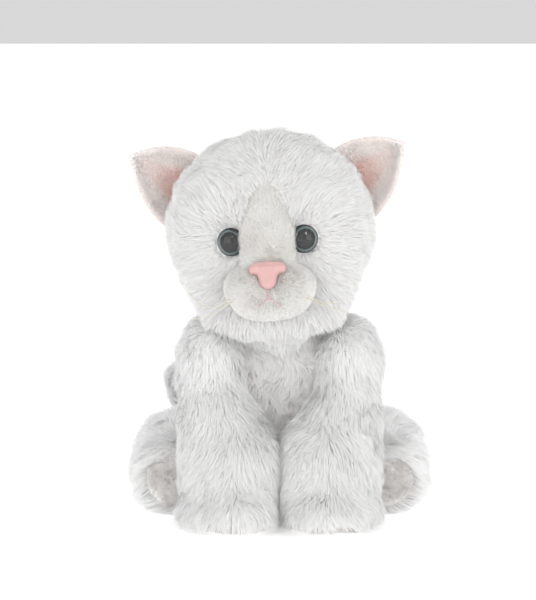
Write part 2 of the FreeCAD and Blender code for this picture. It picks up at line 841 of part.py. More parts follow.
def both_sides(name, thing):
    """Keeps thing as the left sub-part and its mirror image as the right one."""
    keep(name + "_left", thing)
    other = doc.addObject("Part::Mirroring", thing.Name + "_mirrored")
    other.Source = thing
    other.Normal = Vector(1, 0, 0)
    keep(name + "_right", other)


def split_by_seam(name, form, filling, seam):
    """The panels of form, less its filling, on both sides of the upright seam at x = seam."""
    gap = size("seam_gap") / 2
    for label, low, high in (("inner", None, seam - gap), ("outer", seam + gap, None)):
        zone = block(f"{name}_{label}_zone", (low, None, None), (high, None, None))
        panel = cut(f"{name}_{label}", common(f"{name}_{label}_form", form, zone), filling)
        both_sides(f"{name}_{label}_panel", panel)


def front_legs():
    gap = size("seam_gap") / 2
    form, filling = leg_form("front_leg_form"), leg_form("front_leg_fill", "long_pile")
    side, back, top = size("pad_outer"), size("pad_back"), size("pad_top")
    sole = common("paw_sole_form", form, block("paw_sole_zone", (None, None, None), (side, back, top)))
    both_sides("paw_pad", cut("paw_sole", sole, filling))
    room = block("paw_sole_room", (None, None, None), (side + gap, back + gap, top + gap))
    split_by_seam("front_leg", cut("front_leg_plush", form, room), filling, size("leg_seam_x"))
    both_sides("front_leg_stuffing", filling)


def hind_form(name, by=""):
    """A hind leg: the haunch and the foot in front of it, with a flat sole to the front and a flat side to the hip."""
    t = size(by) if by else 0
    sole = size("sole_y") + (size("short_pile") if by else 0)
    form = loft(name + "_loft", HIND_SECTIONS, t, upright=True)
    inside = block(name + "_hip_room", (None, None, None), (size("hip_x") + t, None, None))
    floor = block(name + "_floor", (None, None, None), (None, None, t / 2))
    front = block(name + "_sole_room", (None, None, None), (None, sole, None))
    back = block(name + "_back_room", (None, HIND_SECTIONS[-1][2] - t, None), (None, None, None))
    return cut(name, form, inside, floor, front, back)


def hind_legs():
    gap = size("seam_gap") / 2
    form, filling = hind_form("hind_leg_form"), hind_form("hind_leg_fill", "long_pile")
    seam = size("sole_y") + size("short_pile")
    front = block("hind_sole_zone", (None, None, None), (None, seam - gap, None))
    both_sides("hind_sole", cut("hind_sole_pile", common("hind_sole_form", form, front), filling))
    back = block("hind_plush_zone", (None, seam + gap, None), (None, None, None))
    both_sides("hind_leg_panel", cut("hind_leg_plush", common("hind_leg_back_form", form, back), filling))
    both_sides("hind_leg_stuffing", filling)


def tail():
    points = [[size(f"tail_{spot}_{axis}") for axis in "xyz"] for spot in ("root", "bend", "tip")]
    radii = {
        "outer": "tail_radius",
        "room": "tail_radius - short_pile",
        "fill": "tail_radius - short_pile - fill_gap",
    }
    forms = {}
    for name, radius in radii.items():
        tube = arc_tube(f"tail_{name}_tube", radius, *points)
        ends = [ball(f"tail_{name}_{spot}", radius, at) for spot, at in (("root", points[0]), ("tip", points[2]))]
        forms[name] = fuse(f"tail_{name}", tube, *ends)
    keep("tail_cover", cut("tail_skin", forms["outer"], forms["room"]))
    keep("tail_stuffing", forms["fill"])


# ---------------------------------------------------------------- checks and files


def check():
    """Stops if any object failed to build, or a sub-part isn't made of valid closed solids."""
    bad = [o.Name for o in doc.Objects if {"Invalid", "Error"} & set(o.State)]
    for name, thing in nodes.items():
        shape = thing.Shape
        if shape.isNull() or not shape.isValid() or not shape.Solids or shape.Volume <= 0:
            bad.append(name)
    if bad:
        raise RuntimeError(f"these did not build: {bad}")


def write():
    os.makedirs("parts", exist_ok=True)
    for name, thing in sorted(nodes.items()):
        thing.Shape.exportStep(f"parts/{name}.step")
        box = thing.Shape.BoundBox
        spans = (box.XMin, box.XMax, box.YMin, box.YMax, box.ZMin, box.ZMax)
        volume = thing.Shape.Volume / 1000
        print(f"{name:32s} {len(thing.Shape.Solids):3d} solids {volume:8.2f} cm3", *(f"{v:7.1f}" for v in spans))


fill_sheet()
torso()
neck()
head()
front_legs()
hind_legs()
tail()
doc.recompute()
check()
write()
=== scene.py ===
import math

import bpy
import numpy as np
import openvdb as vdb
from mathutils import Matrix, Vector


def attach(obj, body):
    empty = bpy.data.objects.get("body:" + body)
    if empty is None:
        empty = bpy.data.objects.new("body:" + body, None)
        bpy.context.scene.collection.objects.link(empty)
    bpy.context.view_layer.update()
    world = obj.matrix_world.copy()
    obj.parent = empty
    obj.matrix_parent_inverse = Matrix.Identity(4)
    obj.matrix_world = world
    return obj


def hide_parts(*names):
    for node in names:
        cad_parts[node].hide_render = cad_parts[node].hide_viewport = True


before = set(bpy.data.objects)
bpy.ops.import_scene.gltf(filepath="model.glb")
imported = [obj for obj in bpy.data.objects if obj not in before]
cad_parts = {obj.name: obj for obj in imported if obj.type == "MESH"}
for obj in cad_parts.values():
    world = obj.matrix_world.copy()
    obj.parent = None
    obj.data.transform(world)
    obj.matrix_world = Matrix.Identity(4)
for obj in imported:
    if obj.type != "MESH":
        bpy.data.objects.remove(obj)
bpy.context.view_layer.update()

MM = 0.001
SIDES = (("left", 1.0), ("right", -1.0))
DOWN = np.array([0.0, 0.0, -1.0])
FORWARD = np.array([0, -1, 0])
# How far a cover's cloth lies inside its outer form.
INSET = 3.6
# How deep a fibre's root sits under its skin.
ROOT_DEPTH = 0.6

# The head's own frame: origin at the neck pivot, leaning and turned a little to the cat's right.
NECK = Vector((-2.0, 0.0, 100.0))
HEAD = (
    Matrix.Translation(NECK)
    @ Matrix.Rotation(math.radians(-3.0), 4, "Y")
    @ Matrix.Rotation(math.radians(-2.5), 4, "Z")
)
EYE = np.array([17.4, -41.2, 45.2])
EYE_YAW = math.radians(24.0)


# ---------------- points, forms and meshes, in millimetres


def moved(matrix, points):
    """points through a 4x4 matrix."""
    m = np.array(matrix)
    return points @ m[:3, :3].T + m[:3, 3]


def turned(matrix, vectors):
    return vectors @ np.array(matrix)[:3, :3].T


def unit(v):
    return v / np.maximum(np.linalg.norm(v, axis=-1, keepdims=True), 1e-9)


def ball(p, centre, radii):
    """Distance to an ellipsoid, near enough close to its surface."""
    q = (p - np.array(centre)) / np.array(radii)
    k0 = np.linalg.norm(q, axis=-1)
    k1 = np.linalg.norm(q / np.array(radii), axis=-1)
    return k0 * (k0 - 1.0) / np.maximum(k1, 1e-9)


def limb(p, a, b, ra, rb):
    """Distance to a round bar from a to b whose radius goes from ra to rb."""
    a, b = np.array(a, float), np.array(b, float)
    s = np.clip(((p - a) @ (b - a)) / ((b - a) @ (b - a)), 0, 1)
    return np.linalg.norm(p - a - s[:, None] * (b - a), axis=1) - (ra + (rb - ra) * s)


def merge(a, b, k):
    """Smooth union over k millimetres."""
    h = np.clip(0.5 + 0.5 * (b - a) / k, 0, 1)
    return b * (1 - h) + a * h - k * h * (1 - h)


def carve(a, b, k):
    """a less b, with a rounded edge."""
    return -merge(-a, b, k)


def wave(p, scale, seed):
    """Smooth three-way noise with features about scale millimetres long, in -1..1."""
    rng = np.random.default_rng(seed)
    out = np.zeros((len(p), 3))
    for octave in (1.0, 0.53):
        for axis in range(3):
            for _ in range(4):
                k = unit(rng.normal(size=3)) * (2 * math.pi / (scale * octave)) * rng.uniform(0.7, 1.3)
                out[:, axis] += octave * np.sin(p @ k + rng.uniform(0, 6.28))
    return out / 3.2


class Skin:
    """A closed surface: corners v, quads or triangles f, and a normal at each corner."""

    def __init__(self, v, f):
        self.v = np.asarray(v, float)
        self.f = np.asarray(f, int)
        t = self.f[:, :3]
        if self.f.shape[1] == 4:
            t = np.vstack([t, self.f[:, [0, 2, 3]]])
        self.t = t
        c = np.cross(self.v[t[:, 1]] - self.v[t[:, 0]], self.v[t[:, 2]] - self.v[t[:, 0]])
        self.area = np.linalg.norm(c, axis=1) / 2
        n = np.zeros_like(self.v)
        for k in range(3):
            np.add.at(n, t[:, k], c)
        self.n = unit(n)

    def moved(self, matrix):
        return Skin(moved(matrix, self.v), self.f)

    def mirrored(self):
        return Skin(self.v * (-1, 1, 1), self.f[:, ::-1])


def skin_of(form, low, high, voxel):
    """The surface where form is 0, as quads about voxel apart, drawn tight onto it."""
    low, high = np.array(low, float), np.array(high, float)
    counts = np.ceil((high - low) / voxel).astype(int) + 1
    axes = [low[k] + voxel * np.arange(counts[k]) for k in range(3)]
    p = np.stack(np.meshgrid(*axes, indexing="ij"), -1).reshape(-1, 3)
    grid = vdb.FloatGrid(background=50.0)
    grid.copyFromArray(form(p).reshape(counts).astype(np.float32))
    grid.transform = vdb.createLinearTransform(voxelSize=voxel)
    v, f = grid.convertToQuads(isovalue=0.0)
    v = v.astype(float) + low
    step = 0.2
    for _ in range(2):
        g = np.stack([form(v + e) - form(v - e) for e in np.eye(3) * step], 1) / (2 * step)
        move = (form(v) / np.maximum((g * g).sum(1), 0.2))[:, None] * g
        v -= np.clip(move, -voxel, voxel)
    skin = Skin(v, f)
    a, b, c = (skin.v[skin.t[:, k]] for k in range(3))
    if (a * np.cross(b - a, c - a)).sum() < 0:
        skin = Skin(v, f[:, ::-1])
    return skin


def new_object(name, v, faces, smooth=True):
    """A mesh object from corners in millimetres and an array of faces, all triangles or all quads."""
    v, faces = np.asarray(v, np.float32) * MM, np.asarray(faces, np.int32)
    mesh = bpy.data.meshes.new(name)
    mesh.vertices.add(len(v))
    mesh.vertices.foreach_set("co", v.ravel())
    mesh.loops.add(faces.size)
    mesh.loops.foreach_set("vertex_index", faces.ravel())
    mesh.polygons.add(len(faces))
    mesh.polygons.foreach_set("loop_start", np.arange(len(faces), dtype=np.int32) * faces.shape[1])
    mesh.polygons.foreach_set("use_smooth", np.full(len(faces), smooth))
    mesh.update(calc_edges=True)
    mesh.validate()
    thing = bpy.data.objects.new(name, mesh)
    bpy.context.scene.collection.objects.link(thing)
    return thing


def piece(name, skin, body, material, replaced=()):
    """skin as a piece that rides on body, is made of material and stands for the CAD nodes in replaced."""
    thing = new_object(name, skin.v, skin.f)
    thing.data.materials.append(material)
    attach(thing, body)
    if replaced:
        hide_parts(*replaced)
    return thing


# ---------------- pile


def pile(name, skin, body, material, slot, count, length, comb, seed, replaced=(), **look):
    """Pile over skin as one mesh of flat tapered fibres that lie with their broad side up.

    length and comb are functions of the roots: millimetres, and the way that the pile lies. look may hold
    mask, the share of the fibres that stand at a root; lean, the tips' angle off the skin's normal in degrees;
    swell, how much that angle changes from place to place; width, a fibre's width; lock, a lock's size; pull,
    how close a lock draws together; wild, how much single fibres stray; droop, how far tips sink; bounds, a
    function that keeps corners in their room; and tone, a function of the roots that gives each fibre its place
    in the material's range of colours.
    """
    get = dict(mask=None, lean=72.0, swell=9.0, width=0.30, lock=3.6, pull=0.35, wild=0.10, droop=0.10)
    get = get | dict(bounds=None, tone=None) | look
    rng = np.random.default_rng(seed)
    weight = skin.area.copy()
    if get["mask"] is not None:
        weight *= np.clip(get["mask"](skin.v[skin.t].mean(1)), 0, 1)
    tri = skin.t[rng.choice(len(weight), count, p=weight / weight.sum())]
    a, b = rng.random(count), rng.random(count)
    over = a + b > 1
    a[over], b[over] = 1 - a[over], 1 - b[over]
    share = np.stack([1 - a - b, a, b], 1)[:, :, None]
    root = (skin.v[tri] * share).sum(1)
    normal = unit((skin.n[tri] * share).sum(1))
    way = comb(root)
    way = unit(way - (way * normal).sum(1)[:, None] * normal)
    soft = wave(root, 15.0, seed + 1)
    reach = length(root) * (1 + 0.14 * soft[:, 0]) * rng.uniform(0.8, 1.08, count)
    lean = np.radians(get["lean"] + get["swell"] * soft[:, 1] + rng.normal(0, 3.0, count))[:, None]
    stray = rng.normal(size=(count, 3)) * get["wild"]
    first = unit(normal * np.cos(lean * 0.7) + way * np.sin(lean * 0.7) + stray * 0.6)
    second = unit(normal * np.cos(lean) + way * np.sin(lean) + stray + DOWN * get["droop"])
    middle = root + first * (reach * 0.5)[:, None]
    tip = middle + second * (reach * 0.5)[:, None]
    cell = np.floor((root + wave(root, 8.0, seed + 2) * 2.2) / get["lock"]).astype(np.int64)
    _, lock = np.unique((cell[:, 0] * 4096 + cell[:, 1]) * 4096 + cell[:, 2], return_inverse=True)
    members = np.bincount(lock)
    heart, point = (
        np.stack([np.bincount(lock, p[:, k]) / members for k in range(3)], 1)[lock] for p in (root, tip)
    )
    pull = (get["pull"] * rng.uniform(0.3, 1.3, count))[:, None]
    middle -= (root - heart) * pull * 0.45
    tip += (point + (root - heart) * 0.25 - tip) * pull
    axis = unit(tip - root)
    side = unit(np.cross(axis, normal + rng.normal(size=(count, 3)) * 0.3))
    wide = (get["width"] * 0.5 * rng.uniform(0.7, 1.3, count))[:, None] * side
    base = root - normal * ROOT_DEPTH
    v = np.stack([base - wide, base + wide, middle - wide * 0.9, middle + wide * 0.9, tip], 1)
    if get["bounds"] is not None:
        v = get["bounds"](v.reshape(-1, 3)).reshape(count, 5, 3)
    corners = np.array([[0, 1, 3], [0, 3, 2], [2, 3, 4]])
    faces = (corners[None] + 5 * np.arange(count)[:, None, None]).reshape(-1, 3)
    thing = new_object(name, v.reshape(-1, 3), faces)
    tone = 0.5 if get["tone"] is None else get["tone"](root)
    tone = np.clip(rng.normal(tone, 0.2 if get["tone"] is None else 0.06, count), 0.02, 0.98)
    along = np.array([0.03, 0.03, 0.5, 0.5, 0.97])[corners.ravel()]
    uv = np.stack([np.repeat(tone, 9), np.tile(along, count)], 1).astype(np.float32)
    thing.data.uv_layers.new(name="OFBake").data.foreach_set("uv", uv.ravel())
    thing.data.materials.append(material)
    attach(thing, body)
    if replaced:
        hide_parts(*replaced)
    return thing


def even(value):
    """The same value at every root."""
    return lambda p: np.full(len(p), value)


# Painted light: the bright end of a material's range of colours at every root, for the piles that lie in shade
# (neck, hind legs, tail), so that they read lighter than their shade.
SHADE_LIFT = even(0.95)
SOLE_LOOK = dict(lean=55.0, width=0.22, lock=1.8, wild=0.3, droop=0.0)


def above_floor(v):
    """Fibres that reach the floor lie on it."""
    low = v[:, 2] < 0.9
    v[low, 2] = 0.25 + 0.65 * np.clip((v[low, 2] + 6) / 6.9, 0, 1)
    return v


# ---------------- materials


def new_material(name):
    material = bpy.data.materials.new(name)
    material.use_nodes = True
    tree = material.node_tree
    return material, tree, tree.nodes["Principled BSDF"]


def link(tree, a, b):
    tree.links.new(a, b)


def ramp(tree, factor, stops):
    node = tree.nodes.new("ShaderNodeValToRGB")
    ends = node.color_ramp.elements
    while len(ends) < len(stops):
        ends.new(0.5)
    for end, (at, colour) in zip(ends, stops):
        end.position, end.color = at, (*colour, 1)
    link(tree, factor, node.inputs["Fac"])
    return node.outputs["Color"]


def mix(tree, kind, factor, a, b):
    node = tree.nodes.new("ShaderNodeMix")
    node.data_type, node.blend_type = "RGBA", kind
    if isinstance(factor, float):
        node.inputs["Factor"].default_value = factor
    else:
        link(tree, factor, node.inputs["Factor"])
    for socket, value in ((node.inputs["A"], a), (node.inputs["B"], b)):
        if isinstance(value, tuple):
            socket.default_value = (*value, 1)
        else:
            link(tree, value, socket)
    return node.outputs["Result"]


def noise(tree, scale, detail=4.0, rough=0.55):
    at = tree.nodes.new("ShaderNodeTexCoord")
    node = tree.nodes.new("ShaderNodeTexNoise")
    node.inputs["Scale"].default_value = scale
    node.inputs["Detail"].default_value = detail
    node.inputs["Roughness"].default_value = rough
    link(tree, at.outputs["Object"], node.inputs["Vector"])
    return node.outputs["Fac"]


def bump(tree, shader, height, strength, distance):
    node = tree.nodes.new("ShaderNodeBump")
    node.inputs["Strength"].default_value = strength
    node.inputs["Distance"].default_value = distance
    link(tree, height, node.inputs["Height"])
    link(tree, node.outputs["Normal"], shader.inputs["Normal"])


def fibre_material(name, root, middle, tip, tones=((0.94, 0.935, 0.93), (1.0, 1.0, 1.0)), rough=0.7):
    """Pile: a colour that changes from root to tip and from fibre to fibre."""
    material, tree, shader = new_material(name)
    uv = tree.nodes.new("ShaderNodeUVMap")
    uv.uv_map = "OFBake"
    split = tree.nodes.new("ShaderNodeSeparateXYZ")
    link(tree, uv.outputs["UV"], split.inputs["Vector"])
    along = ramp(tree, split.outputs["Y"], [(0.0, root), (0.5, middle), (1.0, tip)])
    places = np.linspace(0, 1, len(tones))
    each = ramp(tree, split.outputs["X"], [(float(at), tone) for at, tone in zip(places, tones)])
    link(tree, mix(tree, "MULTIPLY", 1.0, along, each), shader.inputs["Base Color"])
    shader.inputs["Roughness"].default_value = rough
    shader.inputs["Specular IOR Level"].default_value = 0.2
    shader.inputs["Sheen Weight"].default_value = 0.15
    return material


def cloth_material(name, colour, scale=900.0, depth=0.00025, rough=0.9, sheen=0.3):
    """Short-napped cloth: fine nap with soft patches where it is brushed another way."""
    material, tree, shader = new_material(name)
    dark = tuple(c * 0.96 for c in colour)
    patch = ramp(tree, noise(tree, 90.0, 3.0), [(0.35, dark), (0.65, colour)])
    nap = noise(tree, scale, 6.0, 0.7)
    grain = ramp(tree, nap, [(0.3, (0.94, 0.94, 0.94)), (0.7, (1.0, 1.0, 1.0))])
    link(tree, mix(tree, "MULTIPLY", 1.0, patch, grain), shader.inputs["Base Color"])
    shader.inputs["Roughness"].default_value = rough
    shader.inputs["Sheen Weight"].default_value = sheen
    bump(tree, shader, nap, 0.6, depth)
    return material


def moulded_material(name, colour, rough, coat=0.0, speck=0.04, ior=1.5):
    """Moulded plastic: a faint flow mottle in the colour and the gloss."""
    material, tree, shader = new_material(name)
    dark = tuple(c * (1 - speck) for c in colour)
    flow = noise(tree, 260.0, 3.0)
    link(tree, ramp(tree, flow, [(0.3, dark), (0.7, colour)]), shader.inputs["Base Color"])
    shine = tree.nodes.new("ShaderNodeMapRange")
    shine.inputs["To Min"].default_value = rough * 0.85
    shine.inputs["To Max"].default_value = rough * 1.15
    link(tree, flow, shine.inputs["Value"])
    link(tree, shine.outputs["Result"], shader.inputs["Roughness"])
    shader.inputs["Coat Weight"].default_value = coat
    shader.inputs["Coat Roughness"].default_value = 0.04
    shader.inputs["IOR"].default_value = ior
    return material


def iris_material():
    """Painted iris: grey-green with fine rays and a darker outer edge. X of the UV runs out from the pupil."""
    material, tree, shader = new_material("iris_paint")
    uv = tree.nodes.new("ShaderNodeUVMap")
    uv.uv_map = "OFBake"
    split = tree.nodes.new("ShaderNodeSeparateXYZ")
    link(tree, uv.outputs["UV"], split.inputs["Vector"])
    stretch = tree.nodes.new("ShaderNodeCombineXYZ")
    for socket, out, factor in (("X", "X", 2.0), ("Y", "Y", 60.0)):
        times = tree.nodes.new("ShaderNodeMath")
        times.operation = "MULTIPLY"
        times.inputs[1].default_value = factor
        link(tree, split.outputs[out], times.inputs[0])
        link(tree, times.outputs[0], stretch.inputs[socket])
    rays = tree.nodes.new("ShaderNodeTexNoise")
    rays.inputs["Scale"].default_value = 1.6
    rays.inputs["Detail"].default_value = 4.0
    link(tree, stretch.outputs["Vector"], rays.inputs["Vector"])
    tint = ramp(tree, rays.outputs["Fac"], [(0.3, (0.72, 0.74, 0.74)), (0.7, (1.0, 1.0, 1.0))])
    stops = [(0.0, (0.08, 0.10, 0.10)), (0.2, (0.26, 0.34, 0.35)), (0.7, (0.20, 0.28, 0.29))]
    across = ramp(tree, split.outputs["X"], stops + [(1.0, (0.03, 0.04, 0.04))])
    link(tree, mix(tree, "MULTIPLY", 1.0, across, tint), shader.inputs["Base Color"])
    shader.inputs["Roughness"].default_value = 0.3
    return material


def clear_material():
    """The eye's clear lens: it lets light straight through and mirrors the room by its angle."""
    material = bpy.data.materials.new("eye_clear")
    material.use_nodes = True
    tree = material.node_tree
    tree.nodes.clear()
    out = tree.nodes.new("ShaderNodeOutputMaterial")
    blend = tree.nodes.new("ShaderNodeMixShader")
    fresnel = tree.nodes.new("ShaderNodeFresnel")
    fresnel.inputs["IOR"].default_value = 1.45
    through = tree.nodes.new("ShaderNodeBsdfTransparent")
    gloss = tree.nodes.new("ShaderNodeBsdfGlossy")
    gloss.inputs["Roughness"].default_value = 0.12
    link(tree, fresnel.outputs["Fac"], blend.inputs["Fac"])
    link(tree, through.outputs["BSDF"], blend.inputs[1])
    link(tree, gloss.outputs["BSDF"], blend.inputs[2])
    link(tree, blend.outputs["Shader"], out.inputs["Surface"])
    return material


# The body pile's range of colours: fibres differ across it at random, and the neck, legs and tail take its
# bright end as painted light where their pile lies in shade.
WEAR_AND_SHADE_LIFT = ((0.90, 0.90, 0.898), (1.0, 1.0, 1.0))
# Painted shade: the head's pile is the same white plush as the body's, given a darker colour to offset the
# stronger light that falls on the head.
LONG_SHADED = fibre_material("long_pile", (0.83, 0.83, 0.83), (0.87, 0.87, 0.87), (0.885, 0.885, 0.885))
BODY = fibre_material("body_pile", (0.955, 0.955, 0.955), (0.97, 0.97, 0.97), (0.978, 0.978, 0.978), WEAR_AND_SHADE_LIFT)
CHEST = fibre_material("chest_pile", (0.955, 0.95, 0.945), (0.975, 0.97, 0.965), (0.98, 0.978, 0.975))
SHORT = fibre_material("short_pile", (0.86, 0.85, 0.835), (0.89, 0.885, 0.87), (0.905, 0.90, 0.885))
# Painted light: the soles' short pile is made whiter to offset the shade where it lies recessed among the long
# fur.
SOLE = fibre_material("sole_pile", (0.96, 0.95, 0.935), (0.975, 0.965, 0.955), (0.98, 0.97, 0.96))
EAR_TONES = ((0.97, 0.72, 0.67), (0.98, 0.86, 0.83), (1.0, 0.955, 0.945), (1.0, 0.985, 0.98))
PINK = fibre_material("ear_pile", (0.96, 0.955, 0.95), (0.975, 0.97, 0.965), (0.98, 0.975, 0.97), EAR_TONES)
BACKING = cloth_material("plush_backing", (0.96, 0.96, 0.96))
VELOUR = cloth_material("velour_backing", (0.94, 0.925, 0.90))
PINK_BACKING = cloth_material("ear_backing", (0.96, 0.90, 0.88))


# ---------------- head


def in_head(p):
    return moved(HEAD.inverted(), p)


def head_form(p, inset=INSET):
    """The round of the head in its own frame, a little flat in front, with full cheeks."""
    r = np.array([51.0, 47.0, 48.0]) - inset
    d = ball(p, (0, -4, 47), r)
    for _, s in SIDES:
        cheek = ball(p, (s * 22.0, -20.0, 27.0), (16.5, 18.0, 16.5))
        d = merge(d, cheek, 8.0)
    d = merge(d, ball(p, (0, -23.5, 11.0), (31.0, 19.5, 13.0)), 9.0)
    for a, b in (((0, 4, 96.5), (0, -22, 91.5)), ((0, -22, 91.5), (0, -36, 82.5))):
        d = carve(d, limb(p, a, b, 3.4, 3.4), 3.0)
    for _, s in SIDES:
        socket = EYE * (s, 1, 1) + (s * 1.0, -4.2, 0)
        d = carve(d, ball(p, socket, (8.2, 5.2, 8.2)), 3.0)
    return d


def face_form(p):
    """The short-piled muzzle and the blaze above it."""
    d = ball(p, (0, -43.5, 14.5), (15.0, 15.0, 7.6))
    for _, s in SIDES:
        d = merge(d, ball(p, (s * 8.6, -44.0, 22.4), (12.6, 17.2, 11.6)), 6.0)
    bridge = ball(rotate_x(p - (0, -38.5, 49.0), 20.0), (0, 0, 0), (13.4, 13.8, 27.5))
    d = merge(d, bridge, 6.0)
    for _, s in SIDES:
        d = merge(d, ball(p, (s * 7.6, -42.5, 45.0), (5.6, 6.5, 9.0)), 4.0)
    crease = limb(p, (0, -63.0, 25.0), (0, -61.0, 9.0), 1.0, 1.4)
    return carve(d, crease, 2.2)


def rotate_x(p, degrees):
    c, s = math.cos(math.radians(degrees)), math.sin(math.radians(degrees))
    return np.stack([p[:, 0], c * p[:, 1] - s * p[:, 2], s * p[:, 1] + c * p[:, 2]], 1)


def eye_axis(s):
    """The way that an eye looks, in the head's frame."""
    return s * math.sin(EYE_YAW), -math.cos(EYE_YAW), 0


def off_eye_axis(q, s):
    """How far along an eye's axis each point of q lies, and its offset from that axis."""
    out = np.array(eye_axis(s))
    d = q - EYE * (s, 1, 1)
    along = d @ out
    return along, d - along[:, None] * out


def eye_distance(q):
    """How far q is from the axis of the nearer eye, for points not far behind that eye."""
    near = np.full(len(q), 1e3)
    for _, s in SIDES:
        along, off = off_eye_axis(q, s)
        near = np.where(along > -9, np.minimum(near, np.linalg.norm(off, axis=1)), near)
    return near


def head_comb(p):
    """Away from the face, over the top to each side of the parting and down the back and the chin."""
    q = in_head(p)
    way = unit(q - (0, -56.0, 36.0))
    side = np.tanh(q[:, 0:1] / 3.0) * np.array([[1.0, 0, 0]])
    top = np.clip((q[:, 2:3] - 62.0) / 24.0, 0, 1)
    way = way + side * top * 0.95
    for _, s in SIDES:
        eye = EYE * (s, 1, 1)
        off = q - eye
        close = np.clip(1.6 - np.linalg.norm(off, axis=1, keepdims=True) / 13.0, 0, 1)
        way = way + unit(off) * close * 1.2
    way = way + np.array([0, 0, -0.55]) * np.clip((48.0 - q[:, 2:3]) / 30.0, 0, 1)
    back = np.clip((q[:, 1:2] - 4.0) / 20.0, 0, 1)
    way = way * (1 - 0.9 * back) + (DOWN + q * (0.008, 0, 0)) * back
    close = np.clip(1.0 - face_form(q) / 7.0, 0, 1)[:, None]
    way = way + wave(q, 26.0, 5) * 0.42 + wave(q, 9.0, 6) * (0.16 + 0.9 * close)
    return turned(HEAD, way)


def head_length(p):
    q = in_head(p)
    d = eye_distance(q)
    face = face_form(q)
    long = 10.4 + 3.4 * np.clip((24.0 - q[:, 2]) / 18.0, 0, 1)
    by_eye = 0.40 + 0.60 * np.clip((d - 8.0) / 12.0, 0, 1)
    by_face = 0.42 + 0.58 * np.clip((face - 0.5) / 9.0, 0, 1)
    return long * np.minimum(by_eye, by_face)


def head_clear(p):
    """No roots under the blaze and the muzzle, or behind the eyes."""
    q = in_head(p)
    return ((face_form(q) > 0.2) & (eye_distance(q) > 7.0)).astype(float)


def head():
    skin = skin_of(head_form, (-56, -56, -6), (56, 50, 100), 1.8).moved(HEAD)
    piece("head_skin", skin, "head", BACKING, ["head_stuffing"])
    back_from, chin_under = 18, 17

    def front(q):
        return q[:, 1] <= back_from

    def high(q):
        return q[:, 2] >= chin_under

    zones = (
        ("left", 58000, "head_panel_left", lambda q: (q[:, 0] > 0) & front(q) & high(q)),
        ("right", 58000, "head_panel_right", lambda q: (q[:, 0] <= 0) & front(q) & high(q)),
        ("back", 52000, "head_back_panel", lambda q: ~front(q)),
        ("chin", 32000, "chin_panel", lambda q: front(q) & ~high(q)),
    )
    for k, (zone, count, node, inside) in enumerate(zones):
        pile(
            f"head_fur_{zone}", skin, "head", LONG_SHADED, "long_pile", count, head_length, head_comb, 100 + k, [node],
            mask=lambda p, inside=inside: head_clear(p) * inside(in_head(p)), bounds=clear_of_eyes,
        )
    face()
    for side, s in SIDES:
        eye(side, s)
        ear(side, s)
    nose()
    mouth()
    whiskers()


def clear_of_eyes(v, room=6.9):
    """Fibres are pushed aside where they would cross an eye's front, within room of its axis."""
    q = in_head(v)
    for _, s in SIDES:
        along, off = off_eye_axis(q, s)
        far = np.linalg.norm(off, axis=1)
        hit = (along > -1.0) & (far < room)
        q[hit] += off[hit] / np.maximum(far[hit], 0.2)[:, None] * (room - 0.75 * far[hit])[:, None]
    return moved(HEAD, q)


def face_comb(p):
    """Up the blaze from the nose, and out to each side on the muzzle."""
    q = in_head(p)
    up = np.clip((q[:, 2:3] - 33.0) / 10.0, 0, 1)
    muzzle = np.stack([np.tanh(q[:, 0] / 2.5) * 0.9, np.full(len(q), 0.35), np.full(len(q), -0.55)], 1)
    blaze = np.stack([q[:, 0] * 0.03, np.full(len(q), 0.3), np.ones(len(q))], 1)
    way = muzzle * (1 - up) + blaze * up + wave(q, 11.0, 8) * 0.3
    return turned(HEAD, way)


def face():
    skin = skin_of(face_form, (-26, -66, 2), (26, -20, 80), 0.9).moved(HEAD)
    piece("face_skin", skin, "head", VELOUR)

    def shown(p):
        q = in_head(p)
        return ((head_form(q) > -1.5) & (eye_distance(q) > 5.4)).astype(float)

    def tufted(p):
        q = in_head(p)
        return 2.4 + 1.9 * np.exp(-(((np.abs(q[:, 0]) - 13.0) / 5.0) ** 2 + ((q[:, 2] - 24.0) / 6.0) ** 2))

    nodes = ["blaze_panel", "muzzle_panel_left", "muzzle_panel_right"]
    pile(
        "face_velour", skin, "head", SHORT, "short_pile", 60000, tufted, face_comb, 120, nodes, mask=shown,
        lean=52.0, width=0.20, lock=2.0, pull=0.45, wild=0.28, droop=0.0, swell=18.0,
        bounds=lambda v: clear_of_eyes(v, 4.9),
    )


def lathe(profile, count=64):
    """A surface turned about z from (radius, height) points; the ends close on the axis."""
    rings = [(r, z) for r, z in profile if r > 1e-6]
    turn = 2 * math.pi * np.arange(count) / count
    v = [np.stack([r * np.cos(turn), r * np.sin(turn), np.full(count, z)], 1) for r, z in rings]
    v = np.vstack(v + [[[0, 0, profile[0][1]], [0, 0, profile[-1][1]]]])
    f = []
    for k in range(len(rings) - 1):
        for j in range(count):
            n = (j + 1) % count
            a, b = k * count, (k + 1) * count
            f.append([a + j, a + n, b + n, b + j])
    first, last, end = len(v) - 2, len(v) - 1, (len(rings) - 1) * count
    caps = []
    for j in range(count):
        n = (j + 1) % count
        caps += [[first, n, j], [end + j, end + n, last]]
    tris = [[q[0], q[1], q[2]] for q in f] + [[q[0], q[2], q[3]] for q in f] + caps
    return Skin(v, tris)


def eye_matrix(s):
    out = Vector(eye_axis(s))
    place = Matrix.Translation(Vector(EYE * (s, 1, 1)))
    return HEAD @ place @ out.to_track_quat("Z", "Y").to_matrix().to_4x4()


